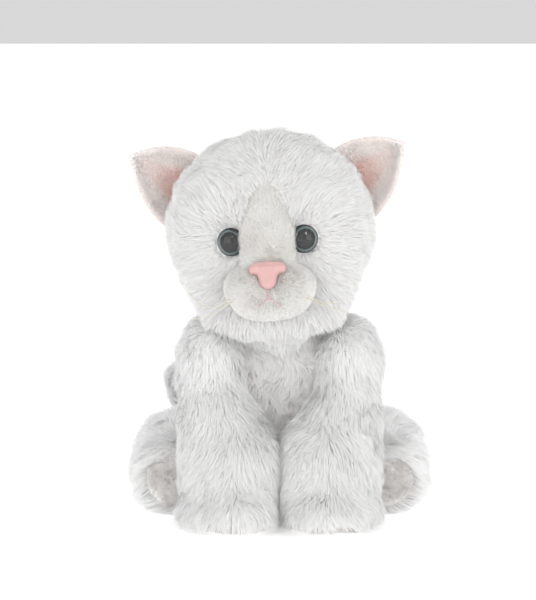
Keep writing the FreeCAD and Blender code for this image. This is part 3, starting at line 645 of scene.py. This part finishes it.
def eye(side, s):
    """A black button with a painted ring let into it, under a clear dome."""
    at = eye_matrix(s)
    edge = [(0, -0.4), (6.6, -0.4), (7.0, 0.0), (7.05, 1.6), (6.95, 2.5), (6.6, 2.66), (6.3, 2.3), (5.2, 2.3)]
    base = lathe(edge + [(5.05, 2.9), (4.6, 3.1), (2.4, 3.2), (0, 3.25)])
    black = moulded_material(f"eye_black_{side}", (0.004, 0.004, 0.005), 0.5, speck=0.1)
    piece(f"eye_black_{side}", base.moved(at), "head", black, [f"eye_button_{side}"])
    pupil, wide = 5.1, 1.55
    profile = [(pupil, 2.4), (pupil, 2.98), (5.5, 2.94), (5.9, 2.88), (6.3, 2.82), (6.62, 2.74), (6.62, 2.4)]
    ring = iris_ring(profile)
    thing = new_object(f"eye_iris_ring_{side}", moved(at, ring.v), ring.f)
    radius = np.linalg.norm(ring.v[:, :2], axis=1)
    angle = np.arctan2(ring.v[:, 1], ring.v[:, 0])
    corner = ring.f.ravel()
    turn = angle[corner].reshape(-1, 4)
    turn = np.where(turn - turn.min(1, keepdims=True) > math.pi, turn - 2 * math.pi, turn).ravel()
    uv = np.stack([(radius[corner] - pupil) / wide, turn / (2 * math.pi) + 1.0], 1).astype(np.float32)
    uv[:, 1] = np.abs(uv[:, 1] % 2.0 - 1.0)
    thing.data.uv_layers.new(name="OFBake").data.foreach_set("uv", uv.ravel())
    thing.data.materials.append(IRIS)
    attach(thing, "head")
    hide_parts(f"eye_iris_{side}")
    bow = [(6.85 * math.cos(a), 2.75 + 3.65 * math.sin(a)) for a in np.linspace(0.0, math.pi / 2, 14)[:-1]]
    dome = lathe([(0, 2.98), (4.0, 2.99), (6.6, 2.86)] + bow + [(0, 6.4)])
    piece(f"eye_dome_{side}", dome.moved(at), "head", CLEAR, [f"eye_lens_{side}"])


def iris_ring(profile, count=72):
    """A closed ring turned about z from a loop of (radius, height) points."""
    turn = 2 * math.pi * np.arange(count) / count
    rings = [np.stack([r * np.cos(turn), r * np.sin(turn), np.full(count, z)], 1) for r, z in profile]
    v = np.vstack(rings)
    f = []
    for k in range(len(profile)):
        m = (k + 1) % len(profile)
        for j in range(count):
            n = (j + 1) % count
            f.append([k * count + j, k * count + n, m * count + n, m * count + j])
    return Skin(v, f)


def nose_form(p):
    """A rounded bar, notched under each end, over a stem with a groove down it: x across, y up, z out."""
    flat = p * (1, 1, 1.15)
    bar = limb(flat, (-6.4, -2.9, 0), (6.4, -2.9, 0), 2.8, 2.8)
    bar = merge(bar, limb(flat, (-4.5, -2.4, 0.4), (4.5, -2.4, 0.4), 2.9, 2.9), 1.0)
    stem = limb(flat, (0, -5.0, 0.0), (0, -8.4, -0.4), 5.2, 4.4)
    d = merge(bar, stem, 1.6)
    for s in (1, -1):
        d = carve(d, ball(flat, (s * 6.9, -6.6, 1.6), (1.8, 1.4, 2.6)), 0.9)
    d = np.maximum(d, flat[:, 2] - 3.3 - 0.9 * np.clip((flat[:, 1] + 11) / 11, 0, 1))
    groove = limb(flat, (0, -5.2, 4.9), (0, -13.0, 3.9), 0.6, 0.9)
    slit = limb(flat, (-5.0, -1.3, 3.9), (5.0, -1.3, 3.9), 0.45, 0.45)
    return carve(carve(d, groove, 1.0), slit, 0.7)


def nose():
    tilt = math.radians(18.0)
    across = np.array([1.0, 0, 0])
    up = np.array([0, math.sin(tilt), math.cos(tilt)])
    out = np.array([0, -math.cos(tilt), math.sin(tilt)])
    local = Matrix(np.column_stack([across, up, out]).tolist()).to_4x4()
    local.translation = Vector((0, -57.2, 35.9))
    skin = skin_of(nose_form, (-11, -14, -5.5), (11, 2, 5), 0.33).moved(HEAD @ local)
    material = moulded_material("nose_pink", (0.66, 0.40, 0.385), 0.34, 0.15, 0.05)
    piece("nose_button_cast", skin, "head", material, ["nose_button"])


def on_face(x, z, lift=0.0):
    """The face's surface in front at x and z of the head's frame."""
    lo, hi = -70.0, -40.0
    for _ in range(30):
        mid = (lo + hi) / 2
        inside = face_form(np.array([[x, mid, z]]))[0] < 0
        lo, hi = (lo, mid) if inside else (mid, hi)
    return np.array([x, lo - lift, z])


def tube(points, radii, sides=8):
    """A closed round tube through points with a radius at each."""
    p, r = np.asarray(points, float), np.asarray(radii, float)
    t = unit(np.gradient(p, axis=0))
    side = unit(np.cross(t, np.array([0.13, 0.31, 0.94])))
    other = np.cross(t, side)
    turn = 2 * math.pi * np.arange(sides) / sides
    ring = side[:, None] * np.cos(turn)[None, :, None] + other[:, None] * np.sin(turn)[None, :, None]
    v = (p[:, None] + r[:, None, None] * ring).reshape(-1, 3)
    v = np.vstack([v, p[0], p[-1]])
    f, n = [], len(p)
    for k in range(n - 1):
        for j in range(sides):
            m = (j + 1) % sides
            a, b = k * sides, (k + 1) * sides
            f += [[a + j, a + m, b + m], [a + j, b + m, b + j]]
    end = (n - 1) * sides
    for j in range(sides):
        m = (j + 1) % sides
        f += [[n * sides, m, j], [end + j, end + m, n * sides + 1]]
    return Skin(v, f)


def joined(skins):
    v, f, base = [], [], 0
    for s in skins:
        v.append(s.v)
        f.append(s.f + base)
        base += len(s.v)
    return Skin(np.vstack(v), np.vstack(f))


def mouth():
    """Satin-stitched thread: each line is three plies twisted round each other."""
    steps = 26
    lines = [[(0, 24.2), (0, 21.4), (0, 18.6)]]
    for _, s in SIDES:
        lines.append([(0, 18.7), (s * 2.2, 17.6), (s * 4.6, 15.8), (s * 7.0, 13.6)])
    plies = []
    for line in lines:
        at = np.array(line, float)
        grid = np.linspace(0, len(at) - 1, steps)
        x = np.interp(grid, range(len(at)), at[:, 0])
        z = np.interp(grid, range(len(at)), at[:, 1])
        centre = np.array([on_face(a, b, 0.75) for a, b in zip(x, z)])
        away = unit(np.cross(np.gradient(centre, axis=0), [0, -1, 0]))
        for k in range(3):
            phase = 2 * math.pi * k / 3 + np.linspace(0, 9.0, steps)
            sideways = away * (0.32 * np.cos(phase))[:, None]
            ply = centre + sideways + FORWARD * (0.26 * np.sin(phase))[:, None]
            plies.append(tube(ply, np.full(steps, 0.30), 6))
    material, tree, shader = new_material("mouth_thread")
    base = ramp(tree, noise(tree, 1500.0, 3.0), [(0.3, (0.52, 0.33, 0.37)), (0.7, (0.66, 0.47, 0.50))])
    link(tree, base, shader.inputs["Base Color"])
    shader.inputs["Roughness"].default_value = 0.45
    shader.inputs["Sheen Weight"].default_value = 0.4
    thread = joined(plies).moved(HEAD)
    piece("mouth_thread_laid", thread, "head", material, ["mouth_stitches"])


def smooth_path(points, count):
    """A Catmull-Rom curve through points."""
    p = np.array(points, float)
    p = np.vstack([2 * p[0] - p[1], p, 2 * p[-1] - p[-2]])
    out = []
    for s in np.linspace(0, len(p) - 3 - 1e-6, count):
        k = int(s)
        t = s - k
        a, b, c, d = p[k : k + 4]
        square, cube = 2 * a - 5 * b + 4 * c - d, 3 * b - a - 3 * c + d
        out.append(0.5 * (2 * b + (c - a) * t + square * t * t + cube * t**3))
    return np.array(out)


def whiskers():
    """Stiff nylon filaments, thickest at the muzzle."""
    paths = {
        "upper": [
            [(-14, -53, 19.9), (-19.5, -56, 18.6), (-27, -56.4, 15.2), (-34, -54.5, 17.6), (-39.5, -52, 22.2)],
            [(14, -53, 19.9), (19.5, -56, 18.4), (25, -57, 15.6), (33, -55, 14.0), (35.5, -54, 13.8)],
        ],
        "lower": [
            [(-14, -54, 18.4), (-20, -56.5, 16.6), (-27, -57, 12.6), (-33, -56, 10.4), (-39.5, -53.5, 9.2)],
            [(14, -54, 18.4), (20, -56.5, 17.0), (26, -57.5, 14.0), (33, -56.5, 11.4), (41.0, -53, 8.0)],
        ],
    }
    steps, thick = 40, 0.27
    taper = 1 - 0.5 * np.linspace(0, 1, steps) ** 1.5
    for name, both in paths.items():
        pair = joined([tube(smooth_path(path, steps), thick * taper) for path in both]).moved(HEAD)
        material, tree, shader = new_material(f"whisker_nylon_{name}")
        tint = ramp(tree, noise(tree, 300.0, 3.0), [(0.3, (0.60, 0.55, 0.44)), (0.7, (0.74, 0.69, 0.58))])
        link(tree, tint, shader.inputs["Base Color"])
        shader.inputs["Roughness"].default_value = 0.32
        piece(f"whisker_pair_{name}", pair, "head", material, [f"whisker_{name}"])


# ---------------- ears

# The left ear's root in the head's frame, its tilt, half its width, its height and its rolled rim's size.
EAR_AT, EAR_OUT, EAR_HALF, EAR_HIGH = (46.5, 0.5, 69.2), math.radians(28.0), 19.5, 27.5
EAR_ROLL = 2.2


def ear_grid():
    """u from -1 at the ear's lower edge to 1 at its upper, v from 0 at its root to 1 at its tip."""
    u = np.sin(np.linspace(-1, 1, 44) * math.pi / 2)
    v = np.sin(np.linspace(0, 1, 30) * math.pi / 2)
    uu, vv = np.meshgrid(u, v, indexing="ij")
    return uu.ravel(), vv.ravel(), len(u), len(v)


def ear_depth(u, v):
    """Millimetres from the ear's outline, roughly."""
    wide = EAR_HALF * (1 - v**1.9) ** 0.72
    return np.minimum((1 - np.abs(u)) * np.maximum(wide, 1.5), (1 - v) * EAR_HIGH * 1.05)


def ear_point(u, v, s, lift):
    """The ear's cupped middle surface, in the head's frame, moved back by lift."""
    out = np.array([math.cos(EAR_OUT), 0, math.sin(EAR_OUT)])
    up = np.array([-math.sin(EAR_OUT), 0, math.cos(EAR_OUT)])
    wide = EAR_HALF * (1 - v**1.9) ** 0.72 * (1 - 0.08 * v) + 0.01
    cup = 6.5 * (1 - u * u) * (1 - 0.55 * v) * (0.35 + 0.65 * np.minimum(1, v * 2.2 + 0.3)) - 2.6 * v * v
    wrap = -0.22 * EAR_HALF * (np.abs(u) ** 2.5) * (1 - v)
    p = (
        np.array(EAR_AT)
        + up * (u * wide + 4.4 * v**1.15)[:, None]
        + out * (EAR_HIGH * v * (1 - 0.06 * u * u) - 3.2 * (1 - v))[:, None]
        + np.array([0, 1.0, 0]) * (cup + wrap + lift)[:, None]
    )
    return p * (s, 1, 1)


def ear_side(s, face):
    """One face of the ear as a closed sheet, and which of its triangles carry pile.

    face is -1 for the front with its rolled edge, and 1 for the back.
    """
    u, v, nu, nv = ear_grid()
    deep = ear_depth(u, v)
    edge = np.sqrt(np.clip(1 - (1 - np.minimum(deep / EAR_ROLL, 1)) ** 2, 0, 1))
    settle = np.clip((deep - EAR_ROLL) / (1.6 * EAR_ROLL), 0, 1)
    settle = settle * settle * (3 - 2 * settle)
    thick = EAR_ROLL * edge * (1 - 0.72 * settle) if face < 0 else 1.9 * edge
    outer = ear_point(u, v, s, face * (thick + 0.05))
    inner = ear_point(u, v, s, face * thick * 0.05)
    n = nu * nv
    f = []
    for i in range(nu - 1):
        for j in range(nv - 1):
            a, b, c, d = i * nv + j, (i + 1) * nv + j, (i + 1) * nv + j + 1, i * nv + j + 1
            f += [[a, b, c], [a, c, d], [n + a, n + c, n + b], [n + a, n + d, n + c]]
    loop = [i * nv for i in range(nu)] + [(nu - 1) * nv + j for j in range(1, nv)]
    loop += [i * nv + nv - 1 for i in range(nu - 2, -1, -1)] + list(range(nv - 2, 0, -1))
    for k, a in enumerate(loop):
        b = loop[(k + 1) % len(loop)]
        f += [[b, a, n + a], [b, n + a, n + b]]
    f = np.array(f)
    if s * face > 0:
        f = f[:, ::-1]
    shown = np.zeros(len(f), bool)
    shown[: 4 * (nu - 1) * (nv - 1)] = np.tile([True, True, False, False], (nu - 1) * (nv - 1))
    return Skin(np.vstack([outer, inner]), f), shown


def ear(side, s):
    """Two layers sewn round a rolled rim: white plush behind, and short pile in front, pink in the hollow."""
    body = f"ear_{side}"
    out = turned(HEAD, np.array([[s * math.cos(EAR_OUT), 0, math.sin(EAR_OUT)]]))[0]

    def outward(p):
        return np.tile(out, (len(p), 1)) + wave(p, 12.0, 31) * 0.4

    def tone(p):
        q = in_head(p) * (s, 1, 1) - EAR_AT
        along = q @ np.array([math.cos(EAR_OUT), 0, math.sin(EAR_OUT)])
        across = q @ np.array([-math.sin(EAR_OUT), 0, math.cos(EAR_OUT)])
        off = np.abs(across - 0.16 * along) / np.maximum(EAR_HALF - 0.55 * along, 4.0)
        rim = np.clip(off - 0.30, 0, 1) * 1.9
        return np.clip(0.14 + 0.034 * along + rim, 0.02, 0.9)

    layers = (
        (-1, "front", PINK_BACKING, PINK, "ear_pile", f"ear_lining_{side}", 26000, 2.7, 30.0, tone),
        (1, "back", BACKING, BODY, "long_pile", f"ear_back_{side}", 22000, 3.0, 58.0, None),
    )
    for face, name, cloth, material, slot, node, count, length, lean, tones in layers:
        skin, shown = ear_side(s, face)
        skin = skin.moved(HEAD)
        piece(f"ear_{name}_cloth_{side}", skin, body, cloth, [node])
        pile(
            f"ear_{name}_pile_{side}", skin, body, material, slot, count, even(length), outward,
            200 + face + 10 * (s > 0), mask=lambda p, shown=shown: shown.astype(float), lean=lean, width=0.22,
            lock=1.8, pull=0.3, wild=0.35, droop=0.0, tone=tones,
        )


# ---------------- torso and neck

# The chest's panel is in front of this plane, and the torso's side panels are behind it.
CHEST_Y = -7.5


def torso_form(p, inset=INSET):
    belly = ball(p, (0, 14, 29), np.array([45.0, 38.0, 42.0]) - inset)
    chest = ball(p, (0, 2, 64), np.array([35.0, 29.0, 35.0]) - inset * 0.6)
    d = merge(belly, chest, 10.0)
    d = merge(d, ball(p, (0, 8, 60), (30.0, 22.0, 30.0)), 8.0)
    for _, s in SIDES:
        d = merge(d, ball(p, (s * 25.0, -7.0, 84.0), (19.0, 18.0, 17.0)), 8.0)
    flank = np.abs(p[:, 0]) - 35.0
    d = carve(d, -np.where(p[:, 2] < 56, flank, -50.0), 3.0)
    front = -(p[:, 1] + 18.0 - inset)
    d = carve(d, -front, 5.0)
    return carve(d, -(0.9 - p[:, 2]), 2.0)


def torso_comb(p):
    """Down and outward behind, and in swirls on the chest."""
    way = np.tile(DOWN, (len(p), 1)) + np.stack([p[:, 0] * 0.012, p[:, 1] * 0.006, p[:, 2] * 0], 1)
    front = np.clip((-4 - p[:, 1:2]) / 8.0, 0, 1)
    calm = wave(p, 24.0, 11) * 0.4 * (1 - front)
    swirl = (wave(p, 17.0, 12) * 1.15 + wave(p, 7.5, 13) * 0.5) * front
    return way + calm + swirl


def torso():
    skin = skin_of(torso_form, (-46, -24, -2), (46, 56, 100), 1.8)
    piece("torso_skin", skin, "torso", BACKING, ["torso_stuffing", "seat_panel"])
    side = {"left": lambda p: p[:, 0] > 0, "right": lambda p: p[:, 0] <= 0}
    for k, (name, inside) in enumerate(side.items()):
        pile(
            f"torso_fur_{name}", skin, "torso", BODY, "long_pile", 36000, even(9.8), torso_comb, 140 + k,
            [f"torso_panel_{name}"], bounds=above_floor,
            mask=lambda p, inside=inside: (inside(p) & (p[:, 1] > CHEST_Y)).astype(float),
        )
    pile(
        "chest_fur", skin, "torso", CHEST, "long_pile", 42000, even(8.2), torso_comb, 143, ["chest_panel"],
        mask=lambda p: ((p[:, 1] <= CHEST_Y) & (p[:, 2] > 12)).astype(float), lean=62.0, lock=5.0, pull=0.38,
        swell=12.0,
    )


def neck():
    """Fur on a round of cloth about the neck pivot, so that it closes the gap at every turn and nod."""
    centre, radii, room = np.array(NECK), (25.0, 21.0, 16.0), np.array((28, 24, 19))
    skin = skin_of(lambda p: ball(p, centre, radii), centre - room, centre + room, 1.6)
    piece("neck_skin", skin, "neck", BACKING, ["neck_stuffing"])

    def comb(p):
        way = (p - centre) * (1, 1, 0.2) * 0.03 + DOWN
        return way + wave(p, 20.0, 15) * 0.4

    pile(
        "neck_fur", skin, "neck", BODY, "long_pile", 20000, even(10.5), comb, 150,
        mask=lambda p: (p[:, 2] < 107).astype(float), tone=SHADE_LIFT,
    )


# ---------------- legs and tail

# Each row is a ring: its middle's x, its middle's second coordinate and its place along the form, and its half
# sizes. The front leg's rings go up z with y second, and the hind leg's go back along y with z second.
LEG_SECTIONS = np.array(
    [
        (24.0, -38.0, 0.0, 17.0, 15.5),
        (25.6, -37.5, 9.0, 23.4, 19.8),
        (26.3, -36.0, 28.0, 25.0, 20.0),
        (27.0, -33.0, 47.0, 24.3, 17.5),
        (33.5, -28.0, 66.0, 17.5, 15.0),
        (37.0, -20.0, 84.0, 10.5, 10.5),
    ]
)
HIND_SECTIONS = np.array(
    [
        (53.0, 20.0, -9.0, 19.8, 18.8),
        (53.0, 20.7, 0.0, 21.8, 20.7),
        (51.0, 23.5, 12.0, 23.5, 23.3),
        (49.5, 26.5, 24.0, 24.5, 24.3),
        (49.5, 27.5, 35.0, 18.8, 18.5),
        (49.5, 28.0, 43.5, 7.0, 7.0),
    ]
)


def rings_form(p, sections, across, along, inset):
    """Distance to a form through elliptical rings whose middles and half sizes run evenly along one axis."""
    at = sections[:, 2]
    s = np.clip(p[:, along], at[0], at[-1])
    soft = [np.interp(s, at, sections[:, k]) for k in (0, 1, 3, 4)]
    x, y = p[:, 0] - soft[0], p[:, across] - soft[1]
    rx, ry = soft[2] - inset, soft[3] - inset
    k = np.sqrt((x / rx) ** 2 + (y / ry) ** 2)
    d = (k - 1) * np.minimum(rx, ry) * 0.92
    return np.maximum(d, np.maximum(at[0] - p[:, along], p[:, along] - at[-1]))


def front_form(p, inset=INSET):
    """The cat's left front leg."""
    d = rings_form(p, LEG_SECTIONS, 1, 2, inset)
    d = merge(d, ball(p, (34.5, -15.5, 82.0), np.array([16.5, 22.0, 21.5]) - inset * 0.8), 9.0)
    d = merge(d, ball(p, (21.0, -50.0, 11.5), np.array([17.0, 16.0, 13.5]) - inset * 0.55), 6.0)
    d = merge(d, limb(p, (18.4, -38.0, 13.0), (18.4, -36.0, 34.0), 17.4, 17.0), 6.0)
    d = merge(d, ball(p, (33.0, -41.0, 10.0), (14.0, 14.0, 10.0)), 6.0)
    back = np.where((p[:, 0] < 29.0) & (p[:, 2] > 4), p[:, 1] + 19.5, -50.0)
    d = carve(d, -back, 2.5)
    return carve(d, -(1.3 - p[:, 2]), 2.0)


def hind_form(p, inset=INSET):
    """The cat's left hind leg."""
    d = merge(rings_form(p, HIND_SECTIONS, 2, 1, inset), ball(p, (54.0, 0.0, 19.0), (15.5, 8.5, 14.5)), 5.0)
    d = carve(d, -(40.0 - p[:, 0]), 3.0)
    d = carve(d, p[:, 1] + 8.4, 2.5)
    return carve(d, -(1.3 - p[:, 2]), 2.0)


def leg_comb(s):
    def comb(p):
        way = np.tile(DOWN, (len(p), 1))
        part = np.clip((-38 - p[:, 1]) / 8.0, 0, 1) * np.tanh((p[:, 0] - s * 23.0) / 5.0)
        way[:, 0] += 0.45 * part + s * 0.5 * np.clip((p[:, 2] - 86.0) / 12.0, 0, 1)
        way[:, 1] -= 0.15
        return way + wave(p, 24.0, 21) * 0.42 + wave(p, 9.0, 22) * 0.16

    return comb


def sole_comb(p):
    return np.tile([0.0, -0.4, 0.6], (len(p), 1)) + wave(p, 8.0, 24) * 0.8


def leg_skins(s):
    """The front and the hind leg's skins: the left side's as formed, and the right side's mirrored."""
    front = skin_of(front_form, (4, -70, -2), (56, 6, 108), 1.7)
    hind = skin_of(hind_form, (36, -12, -2), (76, 44, 54), 1.5)
    return (front, hind) if s > 0 else (front.mirrored(), hind.mirrored())


def front_leg(side, s, skin):
    body, stuffing = f"front_leg_{side}", [f"front_leg_stuffing_{side}"]
    piece(f"front_leg_skin_{side}", skin, body, BACKING, stuffing)
    inner_to = 23

    def sole(p):
        x = p[:, 0] * s
        ring = ((x - 21.0) / 15.5) ** 2 + ((p[:, 1] + 51.0) / 17.0) ** 2
        return (ring < 1) & (p[:, 2] < 9.0) & (p[:, 1] < -40)

    zones = (
        ("inner", 25000, lambda p: ~sole(p) & (p[:, 0] * s < inner_to)),
        ("outer", 45000, lambda p: ~sole(p) & (p[:, 0] * s >= inner_to)),
    )
    for k, (zone, count, inside) in enumerate(zones):
        pile(
            f"front_leg_{zone}_fur_{side}", skin, body, BODY, "long_pile", count, even(9.0), leg_comb(s),
            160 + k + 4 * (s > 0), [f"front_leg_{zone}_panel_{side}"],
            mask=lambda p, inside=inside: inside(p).astype(float), bounds=above_floor,
            # Painted light: fibres take lighter tones toward the shoulder tops, which lie in the head's shadow.
            tone=lambda p: 0.25 + 0.7 * np.clip((p[:, 2] - 66.0) / 26.0, 0, 1),
        )
    pile(
        f"paw_sole_{side}", skin, body, SOLE, "short_pile", 10000, even(2.6), sole_comb, 170 + (s > 0),
        [f"paw_pad_{side}"], mask=lambda p: sole(p).astype(float), bounds=above_floor, **SOLE_LOOK,
    )


def hind_leg(side, s, skin):
    body, stuffing = f"hind_leg_{side}", [f"hind_leg_stuffing_{side}"]
    piece(f"hind_leg_skin_{side}", skin, body, BACKING, stuffing)

    def sole(p):
        x = p[:, 0] * s
        return (p[:, 1] < -2.0) & ((x - 53.0) ** 2 + (p[:, 2] - 19.0) ** 2 < 13.5**2)

    def comb(p):
        out, up = (p[:, 0] - s * 50.0) * 0.035, (p[:, 2] - 26.0) * 0.012 - 0.35
        way = np.stack([out, np.full(len(p), 0.35), up], 1)
        edge = np.clip((1.0 - p[:, 1:2]) / 6.0, 0, 1)
        over = np.array([s * 0.9, -0.3, -0.3]) * edge
        return way * (1 - 0.6 * edge) + over + wave(p, 16.0, 26) * 0.45 + wave(p, 8.0, 27) * 0.25

    pile(
        f"hind_leg_fur_{side}", skin, body, BODY, "long_pile", 46000, even(10.8), comb, 180 + (s > 0),
        [f"hind_leg_panel_{side}"], mask=lambda p: (~sole(p)).astype(float), bounds=above_floor, lean=70.0,
        pull=0.34, lock=4.5, tone=SHADE_LIFT,
    )
    pile(
        f"hind_sole_velour_{side}", skin, body, SOLE, "short_pile", 16000, even(6.5), sole_comb, 190 + (s > 0),
        [f"hind_sole_{side}"], mask=lambda p: sole(p).astype(float), bounds=above_floor, **SOLE_LOOK,
    )


TAIL = smooth_path([(-4, 61.8, 22), (-22, 73, 28), (-38, 74, 38), (-48, 63, 50), (-50, 47, 62)], 24)


def tail_form(p):
    d = np.full(len(p), 1e3)
    for a, b in zip(TAIL[:-1], TAIL[1:]):
        d = np.minimum(d, limb(p, a, b, 6.4, 6.4))
    return d


def tail():
    skin = skin_of(tail_form, TAIL.min(0) - 8, TAIL.max(0) + 8, 1.3)
    piece("tail_skin", skin, "tail", BACKING, ["tail_stuffing"])

    def comb(p):
        near = np.argmin(((p[:, None] - TAIL[None]) ** 2).sum(2), axis=1)
        return unit(np.gradient(TAIL, axis=0))[near] * 0.6 + DOWN * 0.9 + wave(p, 14.0, 28) * 0.3

    pile(
        "tail_fur", skin, "tail", BODY, "long_pile", 26000, even(7.2), comb, 195, ["tail_cover"], lean=68.0,
        tone=SHADE_LIFT,
    )


# ---------------- kept CAD nodes, stage and camera

FLOOR_HALF = 4000
FLOOR_GLOW = 0.36
WORLD_STRENGTH = 0.69


def repaint(names, material):
    for name in names:
        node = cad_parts[name]
        node.data.materials.clear()
        node.data.materials.append(material)


def kept_nodes():
    repaint(["pellet_pouch"], cloth_material("pouch_cloth", (0.70, 0.68, 0.62), 1400.0, 0.0002, 0.85, 0.1))
    repaint(["pellets"], moulded_material("pellet_plastic", (0.66, 0.66, 0.63), 0.45))
    washers = ["eye_washer_left", "eye_washer_right", "nose_washer"]
    repaint(washers, moulded_material("washer_plastic", (0.80, 0.80, 0.77), 0.4))
    seam = cloth_material("seam_thread", (0.82, 0.82, 0.81), 1800.0, 0.0001, 0.6, 0.2)
    repaint(["back_seam_thread"], seam)


def stage():
    corners = [(x * FLOOR_HALF, y * FLOOR_HALF, 0) for x, y in ((-1, -1), (1, -1), (1, 1), (-1, 1))]
    floor = new_object("floor", corners, [[0, 1, 2, 3]])
    material, tree, shader = new_material("floor")
    tone = ramp(tree, noise(tree, 3.0, 2.0), [(0.3, (0.95, 0.95, 0.95)), (0.7, (0.97, 0.97, 0.97))])
    link(tree, tone, shader.inputs["Base Color"])
    shader.inputs["Roughness"].default_value = 0.8
    shader.inputs["Emission Color"].default_value = (1.0, 1.0, 1.0, 1)
    shader.inputs["Emission Strength"].default_value = FLOOR_GLOW
    floor.data.materials.append(material)
    world = bpy.data.worlds.new("studio")
    bpy.context.scene.world = world
    world.use_nodes = True
    sky = world.node_tree.nodes["Background"]
    sky.inputs["Color"].default_value = (1.0, 1.0, 1.0, 1)
    sky.inputs["Strength"].default_value = WORLD_STRENGTH
    lights = {
        "window_right": ((0.62, -0.85, 0.66), 0.20, 1.6),
        "window_left": ((-0.46, -0.95, 0.66), 0.20, 1.3),
        "right": ((1.10, -0.95, 0.25), 0.80, 3.5),
        "left": ((-1.10, -0.95, 0.22), 0.80, 3.5),
        "front": ((0.05, -1.30, 0.12), 0.80, 1.3),
        "top": ((0.0, 0.30, 1.40), 1.20, 2.0),
    }
    for name, (place, wide, power) in lights.items():
        lamp = bpy.data.lights.new(name, "AREA")
        lamp.shape, lamp.size, lamp.energy = "SQUARE", wide, power
        lamp.color = (1.0, 0.995, 0.985)
        thing = bpy.data.objects.new(name, lamp)
        thing.location = place
        aim = Vector((0, 0, 0.1)) - Vector(place)
        thing.rotation_euler = aim.to_track_quat("-Z", "Y").to_euler()
        bpy.context.scene.collection.objects.link(thing)


def camera():
    away, elevation, across = 1.6, math.radians(8.0), 0.300
    target = Vector((-0.006, -0.020, 0.1123))
    lens = bpy.data.cameras.new("camera")
    lens.sensor_width = 36.0
    lens.lens = 36.0 * away / across
    lens.clip_start, lens.clip_end = 0.05, 50.0
    thing = bpy.data.objects.new("camera", lens)
    back = Vector((0, -math.cos(elevation), math.sin(elevation)))
    thing.location = target + back * away
    thing.rotation_euler = (-back).to_track_quat("-Z", "Y").to_euler()
    bpy.context.scene.collection.objects.link(thing)
    bpy.context.scene.camera = thing
    bpy.context.scene.view_settings.view_transform = "Standard"
    bpy.context.scene.cycles.diffuse_bounces = 10


IRIS = iris_material()
CLEAR = clear_material()
head()
torso()
neck()
for leg_side, leg_sign in SIDES:
    front_skin, hind_skin = leg_skins(leg_sign)
    front_leg(leg_side, leg_sign, front_skin)
    hind_leg(leg_side, leg_sign, hind_skin)
tail()
kept_nodes()
stage()
camera()

bpy.context.view_layer.update()
